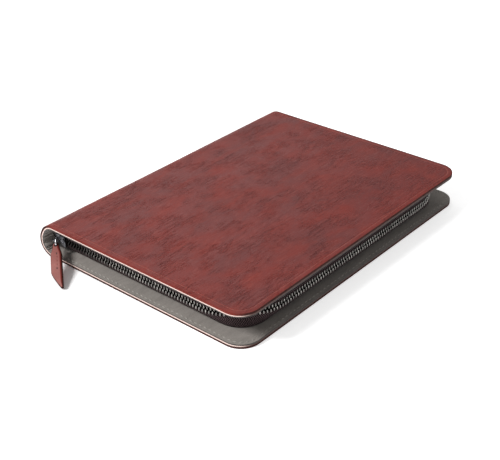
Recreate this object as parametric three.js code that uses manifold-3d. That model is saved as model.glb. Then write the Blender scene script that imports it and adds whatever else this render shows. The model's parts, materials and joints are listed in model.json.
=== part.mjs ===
// A slim zip-around portfolio case for A5 paper: two stiff leather covers joined by a folding spine,
// a metal-toothed zip round the three open sides, and pockets inside.
// Millimetres, +Z up. X runs from the spine to the open edge and Y along the spine. The closed case
// lies on its back cover, and the origin is the centre of its footprint on that cover's underside.
import * as THREE from 'three';
import { mergeVertices } from 'three/addons/utils/BufferGeometryUtils.js';
import Module from 'manifold-3d';

const wasm = await Module();
wasm.setup();

// ---- Driving dimensions ----

// The whole case.
const CASE_LENGTH = 240;
const CASE_WIDTH = 181.6;
const CORNER_RADIUS = 14;
// The spine, as flat strips with a fold line before, between and after them.
const STRIP_LENGTHS = [6, 5, 6.5, 9, 7];
const HALF_TURN = 180;
// The layers of the sheet that makes both covers and the spine, from the outside in.
const LEATHER = 1.3;
const CORE = 1;
const LINING = 0.7;
const GLUE_LINE = 0.05;
const FOLD_GAP = 0.3;
// The zip, a standard size 5 metal chain.
const CHAIN_HEIGHT = 11.8;
const CHAIN_INSET_ENDS = 8.2;
const CHAIN_INSET_SIDE = 6;
const CHAIN_CORNER_RADIUS = 26;
const CHAIN_START = 19.8;
const CHAIN_END = 17.5;
const TOOTH_PITCH = 2.54;
const TOOTH_THICKNESS = 1.1;
const ROW_WIDTH = 3;
const ROW_DEPTH = 2.6;
const CHANNEL = 1.2;
const RAIL_HEIGHT = 1.2;
const TAPE = 0.8;
const TAPE_FOOT_END = 9;
const TAPE_LEAN_FOOT = 3.5;
const TAPE_LEAN_HEIGHT = 3.35;
// Where each tape's two ends stop, measured from the spine's outside.
const BACK_TAPE_ENDS = [5.6, 7.5];
const FRONT_TAPE_ENDS = [7.4, 16.5];
const TAPE_FOOT_CLEARANCE = 1.5;
// The slider, the ring through its bridge and the leather pull tab.
const STOP_WIDTH = 1.2;
const TOP_STOP_HALF_DEPTH = 1.1;
const BOTTOM_STOP_LENGTH = 3.6;
const BOTTOM_STOP_HALF_DEPTH = 1.4;
const SLIDER_X = 13.5;
const SLIDER_LENGTH = 11;
const SLIDER_WIDTH = 8.4;
const SLIDER_PLATE = 1.1;
const RUNNING_GAP = 0.3;
const PIVOT_FROM_SLIDER = 2.2;
const BRIDGE_HALF_SPAN = 2.7;
const BRIDGE_WIDTH = 1.2;
const BRIDGE_FOOT = 0.9;
const BRIDGE_CROWN = 0.8;
const RING_RADIUS = 3.2;
const WIRE_RADIUS = 0.6;
const WIRE_GAP = 0.5;
const TAB_LENGTH = 41;
const TAB_WIDTH = 7.6;
const TAB_LAYER = 1;
const TAB_HOLE_RADIUS = 1.5;
const TAB_HOLE_MARGIN = 0.9;
// How the pull lies at rest, in degrees: the ring's turn out from the chain and its droop, then the
// tab's own droop and its roll about its length.
const PULL_TURN = 40;
const RING_DROOP = 6;
const TAB_DROOP = 14.8;
const TAB_ROLL = 8;
// The pockets inside and the pen loop.
const PANEL = 0.7;
const PANEL_MARGIN = 5.4;
const PANEL_FOLD_CLEARANCE = 4.5;
const PANEL_SPINE_RADIUS = 6;
const SLIT_HALF_LENGTH = 60;
const SLIT_WIDTH = 3;
const SLIT_Y = 32;
const CARD_SLOT_LEFT = -48;
const CARD_SLOT_RIGHT = 50;
const CARD_SLOT_BOTTOM = -92;
const CARD_SLOT_MOUTH = 6;
const CARD_SLOT_STEP = 14;
const CARD_SLOT_RADIUS = 4;
const PEN_LOOP_RADIUS = 5.5;
const PEN_LOOP_LENGTH = 30;

// ---- Sizes worked out from them ----

const SHEET = LEATHER + CORE + LINING;
const FOLD_COUNT = STRIP_LENGTHS.length + 1;
const FOLD_ANGLE = THREE.MathUtils.degToRad(HALF_TURN / FOLD_COUNT);
const MITRE = Math.tan(FOLD_ANGLE / 2);
const FRONT_EDGE = -CASE_LENGTH / 2;
const SPINE_EDGE = -CASE_WIDTH / 2;
const OPEN_EDGE = CASE_WIDTH / 2;
const CHAIN_FRONT = FRONT_EDGE + CHAIN_INSET_ENDS;
const CHAIN_SIDE = OPEN_EDGE - CHAIN_INSET_SIDE;

/** The direction of one spine strip, as an angle from +X towards +Z. */
function stripAngle(index) {
  return Math.PI - (index + 1) * FOLD_ANGLE;
}

/** The fold lines as points (x, z) on the outside, from the back cover's to the front cover's. */
function foldLines() {
  const lines = [new THREE.Vector2(0, 0)];
  STRIP_LENGTHS.forEach((length, index) => {
    const angle = stripAngle(index);
    const step = new THREE.Vector2(Math.cos(angle), Math.sin(angle)).multiplyScalar(length);
    lines.push(lines[index].clone().add(step));
  });
  const outermost = Math.min(...lines.map((line) => line.x));
  return lines.map((line) => line.add(new THREE.Vector2(SPINE_EDGE - outermost, 0)));
}

const FOLDS = foldLines();
const BACK_FOLD = FOLDS[0];
const FRONT_FOLD = FOLDS[FOLD_COUNT - 1];
const CASE_THICKNESS = FRONT_FOLD.y;

// ---- Materials ----

/** A surface with a colour, a roughness and a metalness. */
function material(color, roughness, metalness = 0) {
  return new THREE.MeshStandardMaterial({ color, roughness, metalness });
}

const outerLeather = () => material(0x7c3f3b, 0.45);
const rawCore = () => material(0xe8c9bd, 0.85);
const greyLining = () => material(0x807c78, 0.8);
const blackTape = () => material(0x1c1817, 0.85);
const darkMetal = () => material(0x5c5d60, 0.35, 1);
const brightMetal = () => material(0xd8d9dc, 0.2, 1);
const tabLeather = () => material(0x9c5852, 0.5);

// ---- Geometry helpers ----

/** A closed three.js geometry as a solid that can be joined and cut. */
function toSolid(geometry) {
  const bare = geometry.clone();
  bare.deleteAttribute('normal');
  bare.deleteAttribute('uv');
  const merged = mergeVertices(bare, 1e-4);
  const vertProperties = new Float32Array(merged.attributes.position.array);
  const triVerts = new Uint32Array(merged.index.array);
  return new wasm.Manifold(new wasm.Mesh({ numProp: 3, vertProperties, triVerts }));
}

/** A joined or cut solid back as a three.js geometry. */
function toGeometry(solid) {
  const mesh = solid.getMesh();
  const geometry = new THREE.BufferGeometry();
  geometry.setAttribute('position', new THREE.Float32BufferAttribute(mesh.vertProperties, 3));
  geometry.setIndex(new THREE.Uint32BufferAttribute(mesh.triVerts, 1));
  geometry.computeVertexNormals();
  return geometry;
}

/** A flat shape drawn in X and Y, as a slab between two heights. */
function slab(shape, low, high, curveSegments = 8) {
  const geometry = new THREE.ExtrudeGeometry(shape, {
    depth: high - low,
    bevelEnabled: false,
    curveSegments,
  });
  return geometry.translate(0, 0, low);
}

/** A shape drawn in X and Z, as a bar along Y between two places. */
function bar(shape, near, far, curveSegments = 8) {
  const geometry = new THREE.ExtrudeGeometry(shape, {
    depth: far - near,
    bevelEnabled: false,
    curveSegments,
  });
  return geometry.rotateX(Math.PI / 2).translate(0, far, 0);
}

/** A box from its lowest and highest corners. */
function box(low, high) {
  const size = high.map((value, axis) => value - low[axis]);
  const middle = high.map((value, axis) => (value + low[axis]) / 2);
  return new THREE.BoxGeometry(...size).translate(...middle);
}

/** A rectangle with its open-edge corners rounded, and its spine-side corners too if asked. */
function sheetOutline(left, right, near, far, radius, spineRadius = 0) {
  const shape = new THREE.Shape();
  shape.moveTo(left + spineRadius, near);
  shape.lineTo(right - radius, near);
  shape.absarc(right - radius, near + radius, radius, -Math.PI / 2, 0);
  shape.lineTo(right, far - radius);
  shape.absarc(right - radius, far - radius, radius, 0, Math.PI / 2);
  shape.lineTo(left + spineRadius, far);
  if (spineRadius > 0) {
    shape.absarc(left + spineRadius, far - spineRadius, spineRadius, Math.PI / 2, Math.PI);
    shape.lineTo(left, near + spineRadius);
    shape.absarc(left + spineRadius, near + spineRadius, spineRadius, Math.PI, Math.PI * 1.5);
  } else {
    shape.lineTo(left, near);
  }
  return shape;
}

// ---- The covers and the spine ----

/** The depths, measured in from the outside, at which one of the three layers starts and ends. */
function layerDepths(layer) {
  return {
    leather: [0, LEATHER - GLUE_LINE],
    core: [LEATHER, LEATHER + CORE - GLUE_LINE],
    lining: [LEATHER + CORE, SHEET],
  }[layer];
}

/** One layer of the back cover, whose outside is its underside. */
function backCoverLayer(layer) {
  const [outer, inner] = layerDepths(layer);
  const left = BACK_FOLD.x + inner * MITRE + FOLD_GAP / 2;
  const outline = sheetOutline(left, OPEN_EDGE, FRONT_EDGE, -FRONT_EDGE, CORNER_RADIUS);
  return slab(outline, outer, inner);
}

/** One layer of the front cover, whose outside is its top. */
function frontCoverLayer(layer) {
  const [outer, inner] = layerDepths(layer);
  const left = FRONT_FOLD.x + inner * MITRE + FOLD_GAP / 2;
  const outline = sheetOutline(left, OPEN_EDGE, FRONT_EDGE, -FRONT_EDGE, CORNER_RADIUS);
  return slab(outline, CASE_THICKNESS - inner, CASE_THICKNESS - outer);
}

/** One layer of one spine strip, with mitred sides that leave a gap at each fold. */
function spineStripLayer(index, layer) {
  const [outer, inner] = layerDepths(layer);
  const angle = stripAngle(index);
  const along = new THREE.Vector2(Math.cos(angle), Math.sin(angle));
  const inward = new THREE.Vector2(along.y, -along.x);
  const length = STRIP_LENGTHS[index];
  const place = (distance, depth) =>
    FOLDS[index].clone().addScaledVector(along, distance).addScaledVector(inward, depth);
  const start = (depth) => depth * MITRE + FOLD_GAP / 2;
  const corners = [
    place(start(outer), outer),
    place(start(inner), inner),
    place(length - start(inner), inner),
    place(length - start(outer), outer),
  ];
  return bar(new THREE.Shape(corners.reverse()), FRONT_EDGE, -FRONT_EDGE);
}

// ---- The zip ----

/**
 * The line of the zip chain seen from above: along the near end, round a corner, along the open
 * edge, round the other corner and back along the far end. A sweep steps once along each straight
 * run and CORNER_STEPS times round each corner.
 */
const CORNER_STEPS = 6;

class ZipLine extends THREE.Curve {
  constructor(startX, endX) {
    super();
    const cornerX = CHAIN_SIDE - CHAIN_CORNER_RADIUS;
    const cornerY = CHAIN_FRONT + CHAIN_CORNER_RADIUS;
    const quarter = (CHAIN_CORNER_RADIUS * Math.PI) / 2;
    this.startX = startX;
    this.corner = new THREE.Vector2(cornerX, cornerY);
    this.runs = [cornerX - startX, quarter, -2 * cornerY, quarter, cornerX - endX];
    this.steps = [1, CORNER_STEPS, 1, CORNER_STEPS, 1];
    this.length = this.runs.reduce((sum, run) => sum + run, 0);
    this.stepCount = this.steps.reduce((sum, step) => sum + step, 0);
  }

  /** The point and heading at a distance along the line. */
  at(distance) {
    let left = distance;
    let run = 0;
    while (run < this.runs.length - 1 && left > this.runs[run]) {
      left -= this.runs[run];
      run += 1;
    }
    const { x, y } = this.corner;
    const turn = left / CHAIN_CORNER_RADIUS;
    const far = -CHAIN_FRONT;
    const round = (centreY, angle) => [
      x + CHAIN_CORNER_RADIUS * Math.cos(angle),
      centreY + CHAIN_CORNER_RADIUS * Math.sin(angle),
    ];
    const places = [
      () => [[this.startX + left, CHAIN_FRONT], 0],
      () => [round(y, turn - Math.PI / 2), turn],
      () => [[CHAIN_SIDE, y + left], Math.PI / 2],
      () => [round(-y, turn), Math.PI / 2 + turn],
      () => [[x - left, far], Math.PI],
    ];
    const [point, heading] = places[run]();
    return { point: new THREE.Vector3(...point, 0), heading };
  }

  /** The distance along the line after a share of all the steps. */
  distanceAt(share) {
    let step = share * this.stepCount;
    let distance = 0;
    for (let run = 0; run < this.runs.length; run += 1) {
      const taken = Math.min(step, this.steps[run]);
      distance += (this.runs[run] * taken) / this.steps[run];
      step -= taken;
    }
    return distance;
  }

  getUtoTmapping(share) {
    return share;
  }

  getPoint(share) {
    return this.at(this.distanceAt(share)).point;
  }

  getTangent(share) {
    const { heading } = this.at(this.distanceAt(share));
    return new THREE.Vector3(Math.cos(heading), Math.sin(heading), 0);
  }

  /** A profile of points (inward, height), carried along the line. */
  sweep(profile) {
    const shape = new THREE.Shape(profile.map(([inward, height]) => new THREE.Vector2(-height, inward)));
    return new THREE.ExtrudeGeometry(shape, {
      steps: this.stepCount,
      bevelEnabled: false,
      extrudePath: this,
    });
  }
}

/**
 * A zip tape's cross-section: a foot on the lining, a lean outwards and an upright edge for the
 * teeth. Rise is +1 for the back cover's tape and -1 for the front cover's.
 */
function tapeProfile(root, rise) {
  const half = TAPE / 2;
  const edge = CHAIN_HEIGHT - rise * (ROW_WIDTH - TAPE);
  const uprightFrom = root + rise * TAPE_LEAN_HEIGHT;
  return [
    [-half, edge],
    [-half, uprightFrom],
    [TAPE_LEAN_FOOT, root],
    [TAPE_FOOT_END, root],
    [TAPE_FOOT_END, root + rise * TAPE],
    [TAPE_LEAN_FOOT + half, root + rise * TAPE],
    [half, uprightFrom + rise * half],
    [half, edge],
  ];
}

/** A tape whose foot stops short of the folding spine, while its upright edge runs on. */
function tape(root, rise, ends, fold) {
  const [start, end] = ends.map((inset) => SPINE_EDGE + inset);
  const line = new ZipLine(start, end);
  const trimmed = root + rise * (TAPE + TAPE_LEAN_HEIGHT - 0.15);
  const low = Math.min(root - rise, trimmed);
  const high = Math.max(root - rise, trimmed);
  const trim = box([SPINE_EDGE, FRONT_EDGE, low], [fold.x + TAPE_FOOT_CLEARANCE, -FRONT_EDGE, high]);
  return toGeometry(toSolid(line.sweep(tapeProfile(root, rise))).subtract(toSolid(trim)));
}

function backTape() {
  return tape(SHEET + GLUE_LINE, 1, BACK_TAPE_ENDS, BACK_FOLD);
}

function frontTape() {
  return tape(CASE_THICKNESS - SHEET - GLUE_LINE, -1, FRONT_TAPE_ENDS, FRONT_FOLD);
}

/** One row of teeth with the rail that joins them and grips the tape's edge. */
function teethRow(rise, offset) {
  const line = new ZipLine(SPINE_EDGE + CHAIN_START, SPINE_EDGE + CHAIN_END);
  const back = CHAIN_HEIGHT - rise * ROW_WIDTH;
  const tapeEdge = CHAIN_HEIGHT - rise * (ROW_WIDTH - TAPE - GLUE_LINE);
  const railTop = back + rise * RAIL_HEIGHT;
  const head = CHAIN_HEIGHT - (rise * CHANNEL) / 2;
  const half = ROW_DEPTH / 2;
  const slot = TAPE / 2 + GLUE_LINE;
  const rail = line.sweep([
    [-half, back],
    [-half, railTop],
    [half, railTop],
    [half, back],
    [slot, back],
    [slot, tapeEdge],
    [-slot, tapeEdge],
    [-slot, back],
  ]);
  let row = toSolid(rail);
  const sunk = railTop - rise * 0.15;
  const toothHeight = Math.abs(head - sunk);
  const toothDepth = ROW_DEPTH - 0.2;
  for (let distance = offset; distance < line.length - TOOTH_THICKNESS; distance += TOOTH_PITCH) {
    const { point, heading } = line.at(distance);
    const tooth = new THREE.BoxGeometry(TOOTH_THICKNESS, toothDepth, toothHeight)
      .rotateZ(heading)
      .translate(point.x, point.y, (head + sunk) / 2);
    row = row.add(toSolid(tooth));
  }
  return toGeometry(row);
}

/** A stop crimped round one tape's edge, just past the slider's nose. */
function topStop(rise) {
  const right = SPINE_EDGE + SLIDER_X - SLIDER_LENGTH / 2 - 0.4;
  const left = right - STOP_WIDTH;
  const near = CHAIN_FRONT - TOP_STOP_HALF_DEPTH;
  const far = CHAIN_FRONT + TOP_STOP_HALF_DEPTH;
  const back = CHAIN_HEIGHT - rise * (ROW_WIDTH + 0.6);
  const head = CHAIN_HEIGHT - rise * CHANNEL;
  const low = Math.min(back, head);
  const high = Math.max(back, head);
  const slot = TAPE / 2 + GLUE_LINE;
  const tapeEdge = CHAIN_HEIGHT - rise * (ROW_WIDTH - TAPE - GLUE_LINE);
  const past = back - rise;
  const cutLow = Math.min(past, tapeEdge);
  const cutHigh = Math.max(past, tapeEdge);
  const block = toSolid(box([left, near, low], [right, far, high]));
  const groove = box([left - 1, CHAIN_FRONT - slot, cutLow], [right + 1, CHAIN_FRONT + slot, cutHigh]);
  return toGeometry(block.subtract(toSolid(groove)));
}

/** The stop at the far end, where the slider's travel would end. */
function bottomStop() {
  const right = SPINE_EDGE + CHAIN_END - 1.9;
  const left = right - BOTTOM_STOP_LENGTH;
  const near = -CHAIN_FRONT - BOTTOM_STOP_HALF_DEPTH;
  const far = -CHAIN_FRONT + BOTTOM_STOP_HALF_DEPTH;
  const slot = TAPE / 2 + GLUE_LINE;
  const low = CHAIN_HEIGHT - ROW_WIDTH - 0.4;
  const high = CHAIN_HEIGHT + ROW_WIDTH - 0.6;
  const tapeEdge = CHAIN_HEIGHT - (ROW_WIDTH - TAPE - GLUE_LINE);
  const block = toSolid(box([left, near, low], [right, far, high]));
  const groove = box([left - 1, -CHAIN_FRONT - slot, low - 1], [right + 1, -CHAIN_FRONT + slot, tapeEdge]);
  return toGeometry(block.subtract(toSolid(groove)));
}

// ---- The slider and its pull ----

// Where the ring's wire turns in the bridge.
const PLATE_OUTSIDE = CHAIN_FRONT - ROW_DEPTH / 2 - RUNNING_GAP - SLIDER_PLATE;
const PIVOT = new THREE.Vector3(
  SPINE_EDGE + SLIDER_X - PIVOT_FROM_SLIDER,
  PLATE_OUTSIDE - WIRE_GAP - WIRE_RADIUS,
  CHAIN_HEIGHT,
);

/** The slider's outline in X and Z: a broad nose towards the spine and a narrower tail. */
function sliderOutline() {
  const half = SLIDER_WIDTH / 2;
  const nose = -SLIDER_LENGTH / 2;
  const tail = SLIDER_LENGTH / 2;
  const shape = new THREE.Shape();
  shape.moveTo(nose + 1.2, -half - 0.4);
  shape.quadraticCurveTo(0, -half, tail - 1, -half);
  shape.quadraticCurveTo(tail, -half, tail, -half + 1);
  shape.lineTo(tail, half - 1);
  shape.quadraticCurveTo(tail, half, tail - 1, half);
  shape.quadraticCurveTo(0, half, nose + 1.2, half + 0.4);
  shape.quadraticCurveTo(nose, half, nose, half - 1.4);
  shape.quadraticCurveTo(nose + 0.6, 0, nose, -half + 1.4);
  shape.quadraticCurveTo(nose, -half, nose + 1.2, -half - 0.4);
  return shape;
}

/** Two plates with turned-in flanges that hold the rows, joined by the post that parts them. */
function sliderBody() {
  const inside = ROW_DEPTH / 2 + RUNNING_GAP;
  const outside = inside + SLIDER_PLATE;
  const tapeSlot = TAPE / 2 + RUNNING_GAP + 0.05;
  const flangeFrom = ROW_WIDTH + RUNNING_GAP;
  const nose = -SLIDER_LENGTH / 2;
  const tail = SLIDER_LENGTH / 2;
  const reach = SLIDER_WIDTH;
  const post = CHANNEL / 2 - RUNNING_GAP;
  let body = toSolid(bar(sliderOutline(), -outside, outside, 5));
  const hollow = box([nose - 1, -inside, -flangeFrom], [tail + 1, inside, flangeFrom]);
  const slots = box([nose - 1, -tapeSlot, -reach], [tail + 1, tapeSlot, reach]);
  const wedge = box([nose + 1, -inside - 0.2, -post], [nose + 2.8, inside + 0.2, post]);
  body = body.subtract(toSolid(hollow)).subtract(toSolid(slots)).add(toSolid(wedge));
  return toGeometry(body).translate(SPINE_EDGE + SLIDER_X, CHAIN_FRONT, CHAIN_HEIGHT);
}

/** The bridge on the slider's outer plate, an arch that the ring's wire passes under. */
function sliderBridge() {
  const half = BRIDGE_HALF_SPAN;
  const clear = half - BRIDGE_FOOT;
  const rise = WIRE_GAP * 2 + WIRE_RADIUS * 2;
  const top = rise + BRIDGE_CROWN;
  const arch = new THREE.Shape();
  arch.moveTo(-half, GLUE_LINE);
  arch.lineTo(-clear, GLUE_LINE);
  arch.lineTo(-clear, rise);
  arch.lineTo(clear, rise);
  arch.lineTo(clear, GLUE_LINE);
  arch.lineTo(half, GLUE_LINE);
  arch.lineTo(half, rise);
  arch.quadraticCurveTo(half, top, clear, top);
  arch.lineTo(-clear, top);
  arch.quadraticCurveTo(-half, top, -half, rise);
  return new THREE.ExtrudeGeometry(arch, { depth: BRIDGE_WIDTH, bevelEnabled: false, curveSegments: 4 })
    .translate(0, 0, -BRIDGE_WIDTH / 2)
    .rotateX(Math.PI)
    .translate(PIVOT.x, PLATE_OUTSIDE, CHAIN_HEIGHT);
}

/** A group turned so that its +X points out from the chain and then down by an angle. */
function pullGroup(position, droop) {
  const group = new THREE.Group();
  group.rotation.set(0, THREE.MathUtils.degToRad(droop), THREE.MathUtils.degToRad(-PULL_TURN), 'ZYX');
  group.position.copy(position);
  return group;
}

/** The wire ring, in its group's X and Z, with one side on the group's origin. */
function pullRing() {
  return new THREE.TorusGeometry(RING_RADIUS, WIRE_RADIUS, 8, 24)
    .rotateX(Math.PI / 2)
    .translate(RING_RADIUS, 0, 0);
}

/** The tab's outline: pointed at the ring, one long side straight, and a slanting cut at the end. */
function tabOutline() {
  const half = TAB_WIDTH / 2;
  const top = RING_RADIUS - TAB_HOLE_RADIUS - TAB_HOLE_MARGIN;
  const end = top + TAB_LENGTH;
  const shape = new THREE.Shape();
  shape.moveTo(top, -1.2);
  shape.bezierCurveTo(top + 4, -half + 0.6, top + 8, -half, top + 13, -half);
  shape.lineTo(end - 15, -half);
  shape.quadraticCurveTo(end - 11, -half, end - 8, -half + 2.6);
  shape.lineTo(end - 1, half - 1);
  shape.quadraticCurveTo(end, half, end - 1.4, half);
  shape.lineTo(top + 11, half);
  shape.bezierCurveTo(top + 7, half, top + 4, half - 1, top, 1.2);
  shape.quadraticCurveTo(top - 0.5, 0, top, -1.2);
  const hole = new THREE.Path();
  hole.absarc(RING_RADIUS, 0, TAB_HOLE_RADIUS, 0, Math.PI * 2, true);
  shape.holes.push(hole);
  return shape;
}

/** One of the tab's two leather layers, above or below the middle of its thickness. */
function tabLayer(side) {
  const low = side > 0 ? GLUE_LINE / 2 : -TAB_LAYER;
  const high = side > 0 ? TAB_LAYER : -GLUE_LINE / 2;
  return slab(tabOutline(), low, high, 5);
}

/** The middle of the ring in the case's own frame. */
function ringCentre() {
  const group = pullGroup(PIVOT, RING_DROOP);
  group.updateMatrix();
  return new THREE.Vector3(RING_RADIUS, 0, 0).applyMatrix4(group.matrix);
}

// ---- The inside ----

const PANEL_LIFT = SHEET + TAPE + 2 * GLUE_LINE;

/** A panel's outline: a margin inside the chain on three sides, and clear of a cover's fold line. */
function panelOutline(fold) {
  const near = CHAIN_FRONT + PANEL_MARGIN;
  const right = CHAIN_SIDE - PANEL_MARGIN;
  const radius = CHAIN_CORNER_RADIUS - PANEL_MARGIN;
  return sheetOutline(fold.x + PANEL_FOLD_CLEARANCE, right, near, -near, radius, PANEL_SPINE_RADIUS);
}

/** The panel over the back cover's lining, with the slit that holds a pad's stiff back. */
function padPanel() {
  const outline = panelOutline(BACK_FOLD);
  const round = SLIT_WIDTH / 2 - 0.1;
  const slit = sheetOutline(-SLIT_HALF_LENGTH, SLIT_HALF_LENGTH, SLIT_Y, SLIT_Y + SLIT_WIDTH, round, round);
  outline.holes.push(new THREE.Path(slit.getPoints(3)));
  return slab(outline, PANEL_LIFT, PANEL_LIFT + PANEL);
}

/** The panel under the front cover's lining, open towards the spine as a document pocket. */
function documentPocket() {
  const low = CASE_THICKNESS - PANEL_LIFT - PANEL;
  return slab(panelOutline(FRONT_FOLD), low, low + PANEL);
}

/** One of three card slots, each a step shorter and lying on the one before. */
function cardSlot(index) {
  const mouth = CARD_SLOT_MOUTH - index * CARD_SLOT_STEP;
  const top = CASE_THICKNESS - PANEL_LIFT - (index + 1) * (PANEL + GLUE_LINE);
  const radius = CARD_SLOT_RADIUS;
  const outline = sheetOutline(CARD_SLOT_LEFT, CARD_SLOT_RIGHT, CARD_SLOT_BOTTOM, mouth, radius, radius);
  return slab(outline, top - PANEL, top);
}

/** A loop for a pen, standing on the middle strip of the spine. */
function penLoop() {
  const middle = STRIP_LENGTHS[2] / 2 + FOLDS[2].y;
  const centreX = FOLDS[2].x + SHEET + GLUE_LINE + PEN_LOOP_RADIUS;
  const ring = new THREE.Shape();
  ring.absarc(centreX, middle, PEN_LOOP_RADIUS, 0, Math.PI * 2);
  const bore = new THREE.Path();
  bore.absarc(centreX, middle, PEN_LOOP_RADIUS - PANEL, 0, Math.PI * 2, true);
  ring.holes.push(bore);
  return bar(ring, -PEN_LOOP_LENGTH / 2, PEN_LOOP_LENGTH / 2);
}

// ---- The assembly ----

const portfolio = new THREE.Group();

/** Adds one named piece to a group. */
function add(group, name, geometry, surface) {
  const mesh = new THREE.Mesh(geometry, surface);
  mesh.name = name;
  group.add(mesh);
}

const LAYER_SURFACES = { leather: outerLeather, core: rawCore, lining: greyLining };

for (const [layer, surface] of Object.entries(LAYER_SURFACES)) {
  add(portfolio, `back_cover_${layer}`, backCoverLayer(layer), surface());
  add(portfolio, `front_cover_${layer}`, frontCoverLayer(layer), surface());
  STRIP_LENGTHS.forEach((_, index) => {
    add(portfolio, `spine_${layer}_${index + 1}`, spineStripLayer(index, layer), surface());
  });
}

add(portfolio, 'zip_tape_back', backTape(), blackTape());
add(portfolio, 'zip_tape_front', frontTape(), blackTape());
add(portfolio, 'zip_teeth_back', teethRow(1, TOOTH_PITCH / 4), darkMetal());
add(portfolio, 'zip_teeth_front', teethRow(-1, (TOOTH_PITCH * 3) / 4), darkMetal());
add(portfolio, 'zip_top_stop_back', topStop(1), darkMetal());
add(portfolio, 'zip_top_stop_front', topStop(-1), darkMetal());
add(portfolio, 'zip_bottom_stop', bottomStop(), darkMetal());
add(portfolio, 'slider_body', sliderBody(), darkMetal());
add(portfolio, 'slider_bridge', sliderBridge(), darkMetal());

const ringGroup = pullGroup(PIVOT, RING_DROOP);
add(ringGroup, 'pull_ring', pullRing(), brightMetal());
portfolio.add(ringGroup);

const tabGroup = pullGroup(ringCentre(), TAB_DROOP);
const tabRoll = new THREE.Group();
tabRoll.rotation.x = THREE.MathUtils.degToRad(TAB_ROLL);
add(tabRoll, 'pull_tab_upper', tabLayer(1), tabLeather());
add(tabRoll, 'pull_tab_lower', tabLayer(-1), tabLeather());
tabGroup.add(tabRoll);
portfolio.add(tabGroup);

add(portfolio, 'pad_panel', padPanel(), greyLining());
add(portfolio, 'document_pocket', documentPocket(), greyLining());
[0, 1, 2].forEach((index) => {
  add(portfolio, `card_slot_${index + 1}`, cardSlot(index), outerLeather());
});
add(portfolio, 'pen_loop', penLoop(), outerLeather());

export default portfolio;
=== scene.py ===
"""A slim zip-around portfolio case in red-brown leather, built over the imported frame.

The covers and the spine are one three-layer sheet. Every point of it has sheet coordinates: s, the
distance along the outside from the back cover's open edge round the spine to the front cover's open
edge, then y along the spine, then the depth in from the outside. The frame gives the sizes and places.
"""

import json
from functools import partial
from math import atan2, ceil, copysign, cos, exp, hypot, pi, radians, sin, sqrt, tan

import bmesh
import bpy
import numpy as np
from mathutils import Matrix, Vector, noise


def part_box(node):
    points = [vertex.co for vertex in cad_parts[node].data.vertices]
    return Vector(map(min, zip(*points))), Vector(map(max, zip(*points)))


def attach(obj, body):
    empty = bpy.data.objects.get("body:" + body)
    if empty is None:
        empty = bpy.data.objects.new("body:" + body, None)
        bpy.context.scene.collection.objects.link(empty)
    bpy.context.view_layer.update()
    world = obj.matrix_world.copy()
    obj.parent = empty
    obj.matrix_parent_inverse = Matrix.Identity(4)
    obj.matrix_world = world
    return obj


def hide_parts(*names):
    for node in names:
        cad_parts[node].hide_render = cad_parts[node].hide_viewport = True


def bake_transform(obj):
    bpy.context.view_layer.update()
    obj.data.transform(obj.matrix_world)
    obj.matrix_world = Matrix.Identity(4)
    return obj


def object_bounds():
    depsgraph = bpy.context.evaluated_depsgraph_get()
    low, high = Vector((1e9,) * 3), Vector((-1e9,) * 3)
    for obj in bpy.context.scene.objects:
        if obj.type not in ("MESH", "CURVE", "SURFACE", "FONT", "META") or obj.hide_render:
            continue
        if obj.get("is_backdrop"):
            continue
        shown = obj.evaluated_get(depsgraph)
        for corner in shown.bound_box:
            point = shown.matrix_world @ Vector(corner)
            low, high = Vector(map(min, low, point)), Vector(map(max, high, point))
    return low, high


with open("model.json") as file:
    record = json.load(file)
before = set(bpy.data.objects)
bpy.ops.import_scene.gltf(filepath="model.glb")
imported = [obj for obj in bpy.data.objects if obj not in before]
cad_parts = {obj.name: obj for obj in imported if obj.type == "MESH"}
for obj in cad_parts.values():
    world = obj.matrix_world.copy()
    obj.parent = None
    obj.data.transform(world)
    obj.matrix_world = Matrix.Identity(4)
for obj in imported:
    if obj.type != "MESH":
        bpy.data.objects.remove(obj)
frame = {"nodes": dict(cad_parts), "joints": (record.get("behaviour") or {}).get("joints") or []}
CAD_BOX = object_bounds()

MM = 0.001
UP = Vector((0, 0, 1))
TINY = 1e-9

# ---- Sizes from the frame ----

JOINTS = {joint["name"]: joint for joint in frame["joints"]}
FOLD_NAMES = [f"spine_fold_{number}" for number in range(1, 7)]
SHEET_BODIES = ["back_cover"] + [f"spine_strip_{number}" for number in range(1, 6)] + ["front_cover"]
LAYER_SLOTS = {"leather": "leather", "core": "core_board", "lining": "lining"}
LAYER_BOXES = {layer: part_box(f"back_cover_{layer}") for layer in LAYER_SLOTS}
LAYER_DEPTHS = {layer: (low.z, high.z) for layer, (low, high) in LAYER_BOXES.items()}
SHEET = LAYER_DEPTHS["lining"][1]
OPEN_EDGE = LAYER_BOXES["leather"][1].x
HALF_LENGTH = LAYER_BOXES["leather"][1].y
CASE_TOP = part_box("front_cover_leather")[1].z
PIVOT = Vector(JOINTS["ring_swing"]["pos_m"])
RING_CENTRE = Vector(JOINTS["tab_lift"]["pos_m"])
PULL_LEAD = RING_CENTRE - PIVOT
RING_RADIUS = PULL_LEAD.length
CHAIN_HEIGHT = PIVOT.z
PEN_LOOP_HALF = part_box("pen_loop")[1].y

# ---- Sizes and shapes of its own ----

CORNER_RADIUS = 14 * MM
LEAD = 1 * MM
FLAT_SHARE = 0.98
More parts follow.
